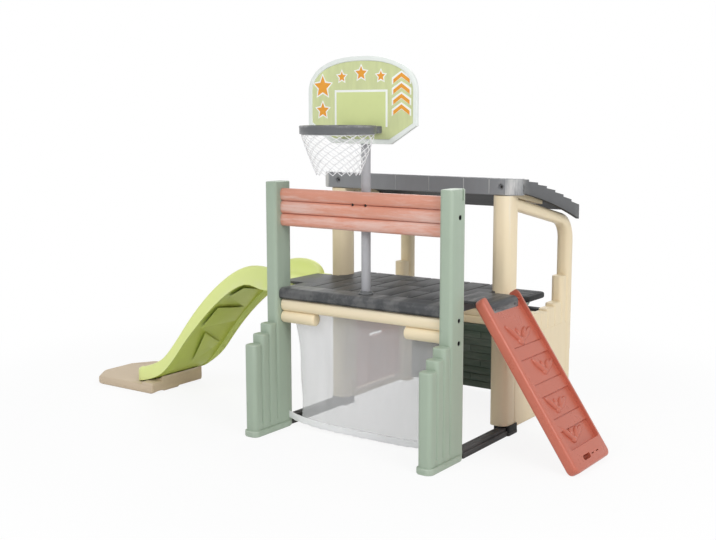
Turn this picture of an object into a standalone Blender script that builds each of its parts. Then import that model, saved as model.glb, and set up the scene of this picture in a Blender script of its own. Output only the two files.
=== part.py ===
"""Playhouse with slide: a goal frame, a raised deck, a roofed house, a slide,
a climbing ramp and a basketball hoop. Metres, +Z up.

Pieces are placed in the frame of the tower: x runs along the goal, y runs from
the goal back to the house, and z = 0 is the floor. y = 0 is the rear face of the
two green side panels. An empty carries every piece, and moves the whole toy so
that the origin is at the middle of the floor below its overall box.
"""
import math

import bmesh
import bpy
from mathutils import Matrix, Vector

# Clearance between two pieces that touch
FIT = 0.0003

# Green side panels
TOWER_WIDTH = 1.020
PANEL_THICKNESS = 0.066
POST_DEPTH = 0.118
POST_HEIGHT = 1.191
LOG_DEPTH = 0.055
LOG_HEIGHTS = (0.525, 0.483, 0.441)
PANEL_CORNER = 0.016
FOOT_FLARE = 0.010
FOOT_HEIGHT = 0.022

# Base rails with the sockets of the house posts
RAIL_WIDTH = 0.060
RAIL_HEIGHT = 0.040
SOCKET_HEIGHT = 0.048
SOCKET_WALL = 0.006

# Deck
DECK_TOP = 0.690
DECK_THICKNESS = 0.052
DECK_OVERHANG = 0.100
DECK_REAR = 0.565
DECK_NOSE_RADIUS = 0.020
PLANK_COUNT = 7
PLANK_GROOVE = 0.006

# Top rail of the goal front and the goal crossbar
TOP_RAIL_LOG = 0.0593
TOP_RAIL_LOGS = 3
TOP_RAIL_DEPTH = 0.040
TOP_RAIL_FRONT = 0.083
TOP_RAIL_TOP = 1.160
CROSSBAR_LOG = 0.060
CROSSBAR_FRONT = 0.092
SHORT_LOG_LENGTH = 0.193

# House
WALL_THICKNESS = 0.070
HOUSE_FRONT = 0.420
HOUSE_REAR = 1.115
FRONT_POST_DEPTH = 0.080
REAR_POST_DEPTH = 0.072
WALL_FRONT_TOP = 1.132
WALL_SHOULDER_Y = 0.900
WALL_SHOULDER_Z = 1.030
WALL_HEAD_STOPS = 4
WALL_HEAD_SLANT = 0.045
ARCH_OUTER_RADIUS = 0.150
ARCH_TUBE = 0.055
SILL_HEIGHT = 0.550
FRONT_STEP_HEIGHT = 0.660
FRONT_STEP_DEPTH = 0.045
REAR_STEP_HEIGHT = 0.690
REAR_STEP_DEPTH = 0.058
WALL_EDGE = 0.012
LEDGE_DEPTH = 0.022

# Half door in the left wall
DOOR_THICKNESS = 0.030
DOOR_TOP = 0.560
DOOR_BOTTOM = 0.062
DOOR_GAP = 0.006
DOOR_PIN_RADIUS = 0.006
DOOR_PIN_LENGTH = 0.024
DOOR_SLOT_LENGTH = 0.160
DOOR_SLOT_HEIGHT = 0.022
DOOR_SLOT_CENTRE = 0.325
THRESHOLD = 0.050
HINGE_LUG_HEIGHT = 0.026

# Rear wall and counter
REAR_WALL_THICKNESS = 0.030
REAR_WALL_INSET = 0.015
SIDING_TOP = 0.372
SIDING_BOTTOM = 0.020
SIDING_COURSES = 9
SIDING_GROOVE = 0.005
REAR_BEAM_HEIGHT = 0.088
REAR_CAP_HEIGHT = 0.036
REAR_CAP_DEPTH = 0.052
COUNTER_TOP = 0.550
COUNTER_THICKNESS = 0.034
COUNTER_CORNER = 0.030
COUNTER_HALF_WIDTH = 0.275
COUNTER_REACH = 0.195
COUNTER_BRACKET_WIDTH = 0.034
COUNTER_BRACKET_SPREAD = 0.180
COUNTER_BRACKET_DROP = 0.150

# Roof
ROOF_HALF_WIDTH = 0.557
ROOF_STOPS = 6
ROOF_REAR = 1.060
ROOF_FRONT_TOP = 1.212
ROOF_REAR_TOP = 1.040
ROOF_SAG = 0.016
ROOF_COURSES = 7
ROOF_COURSE_STEP = 0.010
ROOF_SHEET = 0.022
FASCIA_DEPTH = 0.020
FASCIA_HEIGHT = 0.078
ROOF_SIDE_WIDTH = 0.020
ROOF_REAR_DROP = 0.042
FASCIA_HOLE_RADIUS = 0.013
FASCIA_HOLE_X = 0.460

# Side bay that carries the slide and the ramp
BAY_CENTRE = 0.235
BAY_WIDTH = 0.380
HOOK_THICKNESS = 0.014
HOOK_DROP = 0.050
HOOK_MARGIN = 0.050
SLIDE_TONGUE = 0.060

# Slide
SLIDE_RIM_HEIGHT = 0.080
SLIDE_SKIRT = 0.044
SLIDE_SKIRT_LEAST = 0.004
SLIDE_FLOOR = 0.014
SLIDE_WALL = 0.032
SLIDE_STATIONS = 30
SLIDE_GAP = 0.006
SLIDE_CREST_REACH = 0.200
SLIDE_KNEE_REACH = 0.670
SLIDE_KNEE_DROP = 0.330
SLIDE_KNEE_SLOPE = 1.20
SLIDE_FOOT_REACH = 0.859
SLIDE_FOOT_SLOPE = 0.85
SLIDE_RUN_OUT = 0.094
SLIDE_LIP_REACH = 1.080
SLIDE_LIP_HEIGHT = 0.112
SLIDE_LIP_SLOPE = 0.38
SLIDE_CURVE_PULL = 0.90
SLIDE_CURVE_STEPS = 20
SLIDE_BASE_LEFT = 1.930
SLIDE_BASE_RIGHT = 1.420
SLIDE_BASE_WIDTH = 0.520
SLIDE_BASE_HEIGHT = 0.046
SLIDE_BASE_CORNER = 0.130
CRADLE_LENGTH = 0.060

# Climbing ramp
RAMP_FOOT = 0.985
RAMP_FOOT_TRIM = 0.010
RAMP_GAP = 0.0095
RAMP_DEPTH = 0.050
RAMP_WIDTH = 0.352
RAMP_RAIL = 0.042
RAMP_FAR_RAIL = 0.020
RAMP_FOOT_PAD = 0.085
RAMP_TRAY_DEPTH = 0.034
RAMP_CORNER = 0.030
RAMP_RIBS = 5
RAMP_RIB_HEIGHT = 0.008
HOLD_COUNT = 4
HOLD_RADIUS = 0.042
HOLD_HEIGHT = 0.028
HOLD_OFFSET = 0.070
RAMP_SLOT_LENGTH = 0.070
RAMP_SLOT_WIDTH = 0.022
RAMP_SLOT_RISE = 0.034
RAMP_SLOT_INSET = 0.143

# Basketball hoop
POLE_RADIUS = 0.0215
POLE_WALL = 0.0025
POLE_Y = -0.016
POLE_JOINT = 0.980
POLE_TOP = 1.640
POLE_INSERT = 0.060
POLE_FOOT_RADIUS = 0.034
POLE_FOOT_HEIGHT = 0.018
CLAMP_WIDTH = 0.100
CLAMP_HEIGHT = 0.036
CLAMP_WALL = 0.010
CLAMP_SCREW_SPREAD = 0.035
BOARD_ARCH_POWER = 0.85
BOARD_CROWN_POWER = 0.9
BOARD_WIDTH = 0.585
BOARD_BOTTOM = 1.373
BOARD_TOP = 1.757
BOARD_SPRING = 1.600
BOARD_CHAMFER_TOP = 1.455
BOARD_FLAT_WIDTH = 0.320
BOARD_THICKNESS = 0.018
BOARD_BORDER = 0.020
BOARD_BORDER_RAISE = 0.004
BOARD_BRACKET_WIDTH = 0.090
RIM_RADIUS = 0.168
RIM_BAND = 0.036
RIM_WALL = 0.016
RIM_Z = 1.438
RIM_REACH = 0.175
RIM_PLATE_WIDTH = 0.200
NET_TOP_RADIUS = 0.158
NET_BOTTOM_RADIUS = 0.094
NET_TAPER = 1.2
NET_DROP = 0.172
NET_MESHES_ROUND = 16
NET_ROWS = 5
NET_CORD = 0.0035

# Goal net
NET_SHEET_TOP_HALF = 0.395
NET_SHEET_LOW_HALF = 0.352
NET_SHEET_LAP = 0.020
NET_SHEET_THICKNESS = 0.003
NET_FOLDS = 7
NET_FOLD_DEPTH = 0.016
HEM_HEIGHT = 0.034
HEM_THICKNESS = 0.007
HEM_END_RISE = 0.030
HEM_LOW = 0.012

# Screws
SCREW_RADIUS = 0.006
SCREW_HEAD = 0.0025
SCREW_RECESS = 0.016
PANEL_RECESS_RADIUS = 0.0115
PANEL_SCREW_INSET = 0.008
CROSSBAR_SCREW_SPREAD = 0.099
RAIL_RECESS_RADIUS = 0.008

# Values that follow from the sizes above
PANEL_OUTER = TOWER_WIDTH / 2
PANEL_INNER = PANEL_OUTER - PANEL_THICKNESS
WALL_OUTER = PANEL_OUTER
WALL_INNER = WALL_OUTER - WALL_THICKNESS
ROOF_FRONT = HOUSE_FRONT - FASCIA_DEPTH - FIT
DECK_BOTTOM = DECK_TOP - DECK_THICKNESS
OPENING_FRONT = HOUSE_FRONT + FRONT_POST_DEPTH
OPENING_REAR = HOUSE_REAR - REAR_POST_DEPTH
CROSSBAR_TOP = DECK_BOTTOM - FIT
REAR_WALL_OUTER = HOUSE_REAR - REAR_WALL_INSET
REAR_WALL_INNER = REAR_WALL_OUTER - REAR_WALL_THICKNESS
REAR_BEAM_TOP = SIDING_TOP + REAR_BEAM_HEIGHT
REAR_CAP_TOP = REAR_BEAM_TOP + FIT + REAR_CAP_HEIGHT
RAIL_SCREW_Z = TOP_RAIL_TOP - TOP_RAIL_LOG
RAMP_TOP_X = PANEL_OUTER + RAMP_GAP
SLIDE_START = PANEL_OUTER + SLIDE_GAP
SLIDE_TOP = DECK_TOP - HOOK_THICKNESS - FIT + SLIDE_RIM_HEIGHT
BAY_FRONT = BAY_CENTRE - BAY_WIDTH / 2
BAY_REAR = BAY_CENTRE + BAY_WIDTH / 2
RAMP_REAR = BAY_FRONT + RAMP_WIDTH
BOARD_BACK_Y = POLE_Y - POLE_RADIUS - FIT
BOARD_Y = BOARD_BACK_Y - BOARD_THICKNESS
NET_Y = -CROSSBAR_FRONT + CROSSBAR_LOG + FIT + NET_SHEET_THICKNESS / 2
LEFT = -1
RIGHT = 1
ROUND_SEGMENTS = 24


# Tools for making pieces

def material(name, colour, roughness, metallic=0.0):
    """Return a Principled material with one plain colour."""
    result = bpy.data.materials.new(name)
    result.use_nodes = True
    shader = result.node_tree.nodes["Principled BSDF"]
    shader.inputs["Base Color"].default_value = (*colour, 1.0)
    shader.inputs["Roughness"].default_value = roughness
    shader.inputs["Metallic"].default_value = metallic
    result.diffuse_color = (*colour, 1.0)
    return result


def prism(outline, axis, start, end):
    """Return a closed prism with the outline across the axis, from start to end."""
    places = {
        "X": lambda u, v, w: (w, u, v),
        "Y": lambda u, v, w: (u, w, v),
        "Z": lambda u, v, w: (u, v, w),
    }
    place = places[axis]
    solid = bmesh.new()
    corners = [solid.verts.new(place(u, v, start)) for u, v in outline]
    face = solid.faces.new(corners)
    grown = bmesh.ops.extrude_face_region(solid, geom=[face])
    moved = [item for item in grown["geom"] if isinstance(item, bmesh.types.BMVert)]
    shift = Vector(place(0, 0, end)) - Vector(place(0, 0, start))
    bmesh.ops.translate(solid, verts=moved, vec=shift)
    bmesh.ops.recalc_face_normals(solid, faces=solid.faces)
    return solid


def box(x_range, y_range, z_range):
    """Return a box between two x, two y and two z values."""
    outline = [
        (x_range[0], y_range[0]),
        (x_range[1], y_range[0]),
        (x_range[1], y_range[1]),
        (x_range[0], y_range[1]),
    ]
    return prism(outline, "Z", *z_range)


def rounded_rectangle(u_range, v_range, radius, steps=3):
    """Return the outline of a rectangle with round corners."""
    centres = [
        (u_range[1] - radius, v_range[1] - radius, 0),
        (u_range[0] + radius, v_range[1] - radius, 90),
        (u_range[0] + radius, v_range[0] + radius, 180),
        (u_range[1] - radius, v_range[0] + radius, 270),
    ]
    outline = []
    for u, v, first in centres:
        outline += arc(u, v, radius, first, first + 90, steps)
    return outline


def arc(u, v, radius, first, last, steps):
    """Return the points of an arc between two angles in degrees."""
    points = []
    for step in range(steps + 1):
        angle = math.radians(first + (last - first) * step / steps)
        points.append((u + radius * math.cos(angle), v + radius * math.sin(angle)))
    return points


def cylinder(radius, start, end, segments=ROUND_SEGMENTS):
    """Return a closed cylinder between two points."""
    start = Vector(start)
    end = Vector(end)
    solid = bmesh.new()
    bmesh.ops.create_cone(
        solid, cap_ends=True, segments=segments,
        radius1=radius, radius2=radius, depth=(end - start).length,
    )
    turn = Vector((0, 0, 1)).rotation_difference(end - start).to_matrix().to_4x4()
    place = Matrix.Translation((start + end) / 2) @ turn
    bmesh.ops.transform(solid, matrix=place, verts=solid.verts)
    return solid


def ring_sweep(sections):
    """Return a closed solid through sections that have the same number of points."""
    solid = bmesh.new()
    rings = [[solid.verts.new(point) for point in section] for section in sections]
    count = len(rings[0])
    for first, second in zip(rings, rings[1:]):
        for index in range(count):
            after = (index + 1) % count
            solid.faces.new((first[index], first[after], second[after], second[index]))
    solid.faces.new(list(reversed(rings[0])))
    solid.faces.new(rings[-1])
    bmesh.ops.recalc_face_normals(solid, faces=solid.faces)
    return solid


def mirrored(solid, side):
    """Return the solid, mirrored to the left where the side is LEFT."""
    if side == LEFT:
        bmesh.ops.scale(solid, vec=(-1, 1, 1), verts=solid.verts)
        bmesh.ops.reverse_faces(solid, faces=solid.faces)
    return solid


def add_piece(name, solid, finish, parent, smooth_angle=35):
    """Make an object from a mesh and put it under its parent."""
    mesh = bpy.data.meshes.new(name)
    solid.to_mesh(mesh)
    solid.free()
    mesh.materials.append(finish)
    mesh.shade_smooth()
    mesh.set_sharp_from_angle(angle=math.radians(smooth_angle))
    piece = bpy.data.objects.new(name, mesh)
    bpy.context.scene.collection.objects.link(piece)
    piece.parent = parent
    return piece


def add_bevel(piece, width, segments=2, angle=40):
    """Round the edges that are sharper than an angle."""
    bevel = piece.modifiers.new("Edge", "BEVEL")
    bevel.width = width
    bevel.segments = segments
    bevel.limit_method = "ANGLE"
    bevel.angle_limit = math.radians(angle)
    return bevel


def combine(piece, solid, operation, label):
    """Cut a solid from a piece, or join it on, with a Boolean modifier."""
    mesh = bpy.data.meshes.new(f"{piece.name}_{label}")
    solid.to_mesh(mesh)
    solid.free()
    tool = bpy.data.objects.new(mesh.name, mesh)
    bpy.context.scene.collection.objects.link(tool)
    tool.parent = piece.parent
    tool.hide_render = True
    tool.display_type = "WIRE"
    modifier = piece.modifiers.new(label, "BOOLEAN")
    modifier.operation = operation
    modifier.solver = "EXACT"
    modifier.object = tool
    return tool


def cut(piece, solid, label):
    """Cut a solid from a piece."""
    return combine(piece, solid, "DIFFERENCE", label)


def join(piece, solid, label):
    """Join a solid on to a piece."""
    return combine(piece, solid, "UNION", label)


def empty(name, location, parent=None):
    """Return an empty at a place."""
    result = bpy.data.objects.new(name, None)
    bpy.context.scene.collection.objects.link(result)
    result.location = location
    result.parent = parent
    return result


# Goal frame

def side_panel(side, frame, finish):
    """A tall green post with three lower logs in front of it and a flared foot."""
    name = "side_panel_right" if side == RIGHT else "side_panel_left"
    across = (PANEL_INNER, PANEL_OUTER)
    post = rounded_rectangle(across, (-POST_DEPTH, 0), PANEL_CORNER)
    solid = mirrored(prism(post, "Z", 0, POST_HEIGHT), side)
    piece = add_piece(name, solid, finish, frame)
    overlap = PANEL_CORNER
    for index, height in enumerate(LOG_HEIGHTS):
        rear = -POST_DEPTH - index * LOG_DEPTH + overlap
        front = -POST_DEPTH - (index + 1) * LOG_DEPTH
        outline = rounded_rectangle(across, (front, rear), PANEL_CORNER)
        log = mirrored(prism(outline, "Z", 0, height), side)
        join(piece, log, f"log_{index + 1}")
    front = -POST_DEPTH - len(LOG_HEIGHTS) * LOG_DEPTH - FOOT_FLARE
    foot_across = (PANEL_INNER - FOOT_FLARE, PANEL_OUTER + FOOT_FLARE)
    foot = rounded_rectangle(foot_across, (front, -FOOT_FLARE), PANEL_CORNER)
    join(piece, mirrored(prism(foot, "Z", 0, FOOT_HEIGHT), side), "foot")
    for index, (y, z) in enumerate(panel_screw_places()):
        start = (side * (PANEL_OUTER - SCREW_RECESS), y, z)
        end = (side * (PANEL_OUTER + SCREW_RECESS), y, z)
        cut(piece, cylinder(PANEL_RECESS_RADIUS, start, end, 12), f"recess_{index + 1}")
    return piece


def panel_screw_places():
    """The y and z of the screws that go through a side panel."""
    rail_middle = TOP_RAIL_TOP - TOP_RAIL_LOG * TOP_RAIL_LOGS / 2
    crossbar_middle = CROSSBAR_TOP - CROSSBAR_LOG
    spread = CROSSBAR_SCREW_SPREAD / 2
    y = -TOP_RAIL_FRONT + TOP_RAIL_DEPTH - PANEL_SCREW_INSET
    return [(y, rail_middle), (y, crossbar_middle + spread), (y, crossbar_middle - spread)]


def panel_screws(side, frame, finish):
    """The screws whose heads sit in the recesses of a side panel."""
    name = "panel_screw_right" if side == RIGHT else "panel_screw_left"
    seat = PANEL_OUTER - SCREW_RECESS + FIT
    for index, (y, z) in enumerate(panel_screw_places()):
        start = (side * seat, y, z)
        end = (side * (seat + SCREW_HEAD), y, z)
        add_piece(f"{name}_{index + 1}", cylinder(SCREW_RADIUS, start, end, 12), finish, frame)


def stacked_logs(front, depth, top, log, count):
    """The outline of logs stacked on each other, as y and z, with round fronts."""
    bulge = log / 4
    outline = []
    for index in range(count):
        middle = top - log * (index + 0.5)
        for step in range(5):
            share = math.cos(math.radians(45 * (step - 2)))
            z = middle + log / 2 * math.sin(math.radians(45 * (2 - step)))
            outline.append((front + bulge * (1 - share), z))
    outline.append((front + depth, top - log * count))
    outline.append((front + depth, top))
    return outline


def remove_doubles(outline):
    """The outline without points that lie on their neighbour."""
    kept = []
    for point in outline:
        if not kept or math.dist(point, kept[-1]) > FIT:
            kept.append(point)
    return kept


def top_rail(frame, finish):
    """Three terracotta logs in one moulding, between the side panels."""
    outline = remove_doubles(
        stacked_logs(-TOP_RAIL_FRONT, TOP_RAIL_DEPTH, TOP_RAIL_TOP, TOP_RAIL_LOG, TOP_RAIL_LOGS)
    )
    half = PANEL_INNER - FIT
    piece = add_piece("top_rail", prism(outline, "X", -half, half), finish, frame)
    for label, side in (("left", LEFT), ("right", RIGHT)):
        x = side * CLAMP_SCREW_SPREAD
        start = (x, -TOP_RAIL_FRONT - SCREW_RECESS, RAIL_SCREW_Z)
        end = (x, -TOP_RAIL_FRONT + SCREW_RECESS, RAIL_SCREW_Z)
        cut(piece, cylinder(RAIL_RECESS_RADIUS, start, end, 12), f"recess_{label}")
    return piece


def rail_screws(frame, finish):
    """The two dark screws that hold the pole clamp to the top rail."""
    z = RAIL_SCREW_Z
    seat = -TOP_RAIL_FRONT + SCREW_RECESS - FIT
    for label, side in (("left", LEFT), ("right", RIGHT)):
        x = side * CLAMP_SCREW_SPREAD
        head = cylinder(SCREW_RADIUS, (x, seat, z), (x, seat - SCREW_HEAD, z), 12)
        add_piece(f"rail_screw_{label}", head, finish, frame)


def crossbar(frame, finish):
    """The cream crossbar: one full log over a short log at each end."""
    half = PANEL_INNER - FIT
    upper = stacked_logs(-CROSSBAR_FRONT, CROSSBAR_LOG, CROSSBAR_TOP, CROSSBAR_LOG, 1)
    piece = add_piece("goal_crossbar", prism(upper, "X", -half, half), finish, frame)
    radius = CROSSBAR_LOG / 2
    y = -CROSSBAR_FRONT + radius
    z = CROSSBAR_TOP - CROSSBAR_LOG * 3 / 2 + FIT
    for label, side in (("left", LEFT), ("right", RIGHT)):
        start = (side * (half - SHORT_LOG_LENGTH), y, z)
        join(piece, cylinder(radius, start, (side * half, y, z), 16), f"short_log_{label}")
        web = box(
            sorted((side * (half - SHORT_LOG_LENGTH), side * half)),
            (y - radius / 2, y + radius / 2), (z, z + CROSSBAR_LOG),
        )
        join(piece, web, f"web_{label}")
    return piece


def base_rail(side, frame, finish):
    """A floor rail from the side panel back to the socket of the house post."""
    name = "base_rail_right" if side == RIGHT else "base_rail_left"
    x_range = (PANEL_OUTER - RAIL_WIDTH, PANEL_OUTER)
    rear = HOUSE_FRONT + FRONT_POST_DEPTH + SOCKET_WALL + FIT
    solid = mirrored(box(x_range, (FIT, rear), (0, RAIL_HEIGHT)), side)
    piece = add_piece(name, solid, finish, frame)
    socket_x = (WALL_INNER - SOCKET_WALL - FIT, WALL_OUTER + SOCKET_WALL + FIT)
    socket_y = (HOUSE_FRONT - SOCKET_WALL - FIT, rear)
    join(piece, mirrored(box(socket_x, socket_y, (0, SOCKET_HEIGHT)), side), "socket")
    pocket_x = (WALL_INNER - FIT, WALL_OUTER + FIT)
    pocket_y = (HOUSE_FRONT - FIT, rear + SOCKET_WALL)
    cut(piece, mirrored(box(pocket_x, pocket_y, (SOCKET_WALL, SOCKET_HEIGHT * 2)), side), "pocket")
    return piece


# Deck

def deck(frame, finish):
    """The plank deck, with a round nose, notches for the posts and two hook plates."""
    half = PANEL_INNER - FIT
    house_half = WALL_INNER - FIT
    nose = -DECK_OVERHANG
    profile = arc(nose + DECK_NOSE_RADIUS, DECK_TOP - DECK_NOSE_RADIUS, DECK_NOSE_RADIUS, 90, 180, 4)
    lower = DECK_NOSE_RADIUS / 2
    profile += arc(nose + lower, DECK_BOTTOM + lower, lower, 180, 270, 3)
    profile += [(DECK_REAR, DECK_BOTTOM), (DECK_REAR, DECK_TOP)]
    piece = add_piece("deck", prism(profile, "X", -half, half), finish, frame)
    for label, side in (("left", LEFT), ("right", RIGHT)):
        notch = box((house_half, half * 2), (HOUSE_FRONT - FIT, DECK_REAR * 2), (0, POST_HEIGHT))
        cut(piece, mirrored(notch, side), f"notch_{label}")
    join(piece, ramp_hook(), "ramp_hook")
    join(piece, slide_tongue(), "slide_tongue")
    width = 2 * house_half / PLANK_COUNT
    for index in range(1, PLANK_COUNT):
        x = -house_half + index * width
        y_range = (0 if index % 2 else HOOK_MARGIN, DECK_REAR - HOOK_MARGIN)
        if abs(x) < POLE_FOOT_RADIUS:
            continue
        groove = box(
            (x - PLANK_GROOVE / 2, x + PLANK_GROOVE / 2), y_range,
            (DECK_TOP - PLANK_GROOVE, DECK_TOP + PLANK_GROOVE),
        )
        cut(piece, groove, f"groove_{index}")
    return piece


def ramp_hook():
    """The plate that reaches out of the deck and turns down over the ramp floor."""
    start = PANEL_INNER - HOOK_MARGIN
    low = DECK_TOP - HOOK_DROP
    end = ramp_floor_x(low) + FIT * 4 + HOOK_THICKNESS
    radius = HOOK_DROP / 2
    outer = arc(end - radius, DECK_TOP - radius, radius, 90, 0, 4)
    inner = arc(end - radius, DECK_TOP - radius, radius - HOOK_THICKNESS, 0, 90, 4)
    outline = [(start, DECK_TOP)] + outer
    outline += [(end, low), (end - HOOK_THICKNESS, low)]
    outline += inner + [(start, DECK_TOP - HOOK_THICKNESS)]
    return prism(outline, "Y", BAY_FRONT + HOOK_MARGIN, RAMP_REAR - HOOK_MARGIN)


def slide_tongue():
    """The flat tongue that reaches out of the deck on to the slide floor."""
    outline = rounded_rectangle(
        (-SLIDE_START - SLIDE_TONGUE, -PANEL_INNER + HOOK_MARGIN),
        (BAY_FRONT + HOOK_MARGIN, BAY_REAR - HOOK_MARGIN), HOOK_THICKNESS,
    )
    return prism(outline, "Z", DECK_TOP - HOOK_THICKNESS, DECK_TOP)


# House

def wall_outline():
    """The outer outline of a house wall as y and z: front post, head, arch and rear post."""
    radius = ARCH_OUTER_RADIUS
    slope = math.atan2(WALL_FRONT_TOP - WALL_SHOULDER_Z, WALL_SHOULDER_Y - HOUSE_FRONT)
    centre_y = HOUSE_REAR - radius
    run = centre_y + radius * math.sin(slope) - HOUSE_FRONT
    centre_z = WALL_FRONT_TOP - run * math.tan(slope) - radius * math.cos(slope)
    outline = [(HOUSE_FRONT, 0)]
    seats = roof_seats()[:WALL_HEAD_STOPS + 1]
    outline += [(y, z - FIT) for y, z in seats]
    shoulder_y = seats[-1][0] + WALL_HEAD_SLANT
    outline.append((shoulder_y, WALL_FRONT_TOP - (shoulder_y - HOUSE_FRONT) * math.tan(slope)))
    outline += arc(centre_y, centre_z, radius, 90 - math.degrees(slope), 0, 6)
    outline.append((HOUSE_REAR, 0))
    return outline, (centre_y, centre_z, slope)


def wall_opening(sill):
    """The outline of the window, or of the doorway, with its stepped logs."""
    centre_y, centre_z, slope = wall_outline()[1]
    radius = ARCH_OUTER_RADIUS - REAR_POST_DEPTH
    run = centre_y + radius * math.sin(slope) - OPENING_FRONT
    front_top = centre_z + radius * math.cos(slope) + run * math.tan(slope)
    front_step = OPENING_FRONT + FRONT_STEP_DEPTH
    rear_step = OPENING_REAR - REAR_STEP_DEPTH
    outline = [(front_step, sill), (front_step, FRONT_STEP_HEIGHT)]
    outline += [(OPENING_FRONT, FRONT_STEP_HEIGHT), (OPENING_FRONT, front_top)]
    outline += arc(centre_y, centre_z, radius, 90 - math.degrees(slope), 0, 6)
    outline += [(OPENING_REAR, REAR_STEP_HEIGHT), (rear_step, REAR_STEP_HEIGHT)]
    outline.append((rear_step, sill))
    return outline


def house_wall(side, frame, finish):
    """A cream side wall: two posts, the arch over them and the part below the window."""
    name = "house_wall_right" if side == RIGHT else "house_wall_left"
    outline = wall_outline()[0]
    solid = mirrored(prism(outline, "X", WALL_INNER, WALL_OUTER), side)
    piece = add_piece(name, solid, finish, frame)
    sill = SILL_HEIGHT if side == RIGHT else THRESHOLD
    hole = prism(wall_opening(sill), "X", 0, WALL_OUTER * 2)
    cut(piece, mirrored(hole, side), "opening")
    add_bevel(piece, WALL_EDGE)
    foot_front = HOUSE_FRONT + FRONT_POST_DEPTH + SOCKET_WALL * 4
    foot_rear = OPENING_REAR
    arch = prism(
        rounded_rectangle((foot_front, foot_rear), (-SOCKET_HEIGHT, SOCKET_HEIGHT / 2), SOCKET_HEIGHT / 3),
        "X", 0, WALL_OUTER * 2,
    )
    cut(piece, mirrored(arch, side), "foot_arch")
    seat = box((0, WALL_OUTER * 2), (0, foot_front), (-SOCKET_HEIGHT, SOCKET_WALL + FIT))
    cut(piece, mirrored(seat, side), "socket_seat")
    ledge = box(
        (WALL_INNER - LEDGE_DEPTH, WALL_INNER + LEDGE_DEPTH / 2),
        (HOUSE_FRONT + WALL_EDGE, OPENING_FRONT - WALL_EDGE),
        (DECK_BOTTOM - FIT - LEDGE_DEPTH * 2, DECK_BOTTOM - FIT),
    )
    join(piece, mirrored(ledge, side), "deck_ledge")
    return piece


def half_door(frame, finish, pin_finish, hinge):
    """The terracotta half door and its two pins. The hinge empty is on its axis."""
    radius = DOOR_THICKNESS / 2
    reach = hinge.location.y - (OPENING_FRONT + FRONT_STEP_DEPTH + DOOR_GAP)
    outline = arc(0, 0, radius, 0, 180, 6) + [(-radius, -reach), (radius, -reach)]
    door = add_piece("half_door", prism(outline, "Z", DOOR_BOTTOM, DOOR_TOP), finish, hinge)
    middle = -reach / 2
    half = DOOR_SLOT_LENGTH / 2
    slot = rounded_rectangle(
        (middle - half, middle + half),
        (DOOR_SLOT_CENTRE - DOOR_SLOT_HEIGHT / 2, DOOR_SLOT_CENTRE + DOOR_SLOT_HEIGHT / 2),
        DOOR_SLOT_HEIGHT / 2 - FIT,
    )
    cut(door, prism(slot, "X", -DOOR_THICKNESS, DOOR_THICKNESS), "slot")
    for label, z, outward in (("lower", DOOR_BOTTOM, -1), ("upper", DOOR_TOP, 1)):
        start = (0, 0, z + outward * FIT)
        pin = cylinder(DOOR_PIN_RADIUS, start, (0, 0, z + outward * DOOR_PIN_LENGTH), 16)
        add_piece(f"door_pin_{label}", pin, pin_finish, hinge)
    return door


def hinge_lugs(wall, hinge):
    """The lugs of the left wall that hold the door pins, with their holes."""
    x = hinge.location.x
    y = hinge.location.y
    half = DOOR_THICKNESS / 2
    rear = OPENING_REAR + WALL_EDGE
    bottom = DOOR_TOP + DOOR_GAP
    lug = box((x - half, x + half), (y - half, rear), (bottom, bottom + HINGE_LUG_HEIGHT))
    join(wall, lug, "upper_lug")
    bore = DOOR_PIN_RADIUS + FIT * 2
    for label, z in (("lower", DOOR_BOTTOM), ("upper", DOOR_TOP)):
        outward = -1 if label == "lower" else 1
        start = (x, y, z - outward * DOOR_PIN_LENGTH)
        end = (x, y, z + outward * (DOOR_PIN_LENGTH + FIT))
        cut(wall, cylinder(bore, start, end, 16), f"pin_hole_{label}")


def rear_wall(frame, siding_finish, beam_finish, cap_finish):
    """The green siding, the cream beam over it and the dark cap."""
    half = WALL_INNER - FIT
    inner = REAR_WALL_INNER
    course = (SIDING_TOP - SIDING_BOTTOM) / SIDING_COURSES
    profile = [(REAR_WALL_OUTER, SIDING_BOTTOM), (inner, SIDING_BOTTOM)]
    for index in range(1, SIDING_COURSES):
        z = SIDING_BOTTOM + index * course
        profile += [
            (inner, z - SIDING_GROOVE), (inner + SIDING_GROOVE, z), (inner, z + SIDING_GROOVE),
        ]
    profile += [(inner, SIDING_TOP - FIT), (REAR_WALL_OUTER, SIDING_TOP - FIT)]
    add_piece("rear_siding", prism(profile, "X", -half, half), siding_finish, frame, 20)
    beam = add_piece(
        "rear_beam",
        box((-half, half), (inner, REAR_WALL_OUTER), (SIDING_TOP, REAR_BEAM_TOP)), beam_finish, frame,
    )
    add_bevel(beam, WALL_EDGE / 2)
    middle = (inner + REAR_WALL_OUTER) / 2
    cap = add_piece(
        "rear_cap",
        box(
            (-half, half), (middle - REAR_CAP_DEPTH / 2, middle + REAR_CAP_DEPTH / 2),
            (REAR_BEAM_TOP + FIT, REAR_CAP_TOP),
        ),
        cap_finish, frame,
    )
    add_bevel(cap, WALL_EDGE / 2)


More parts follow.
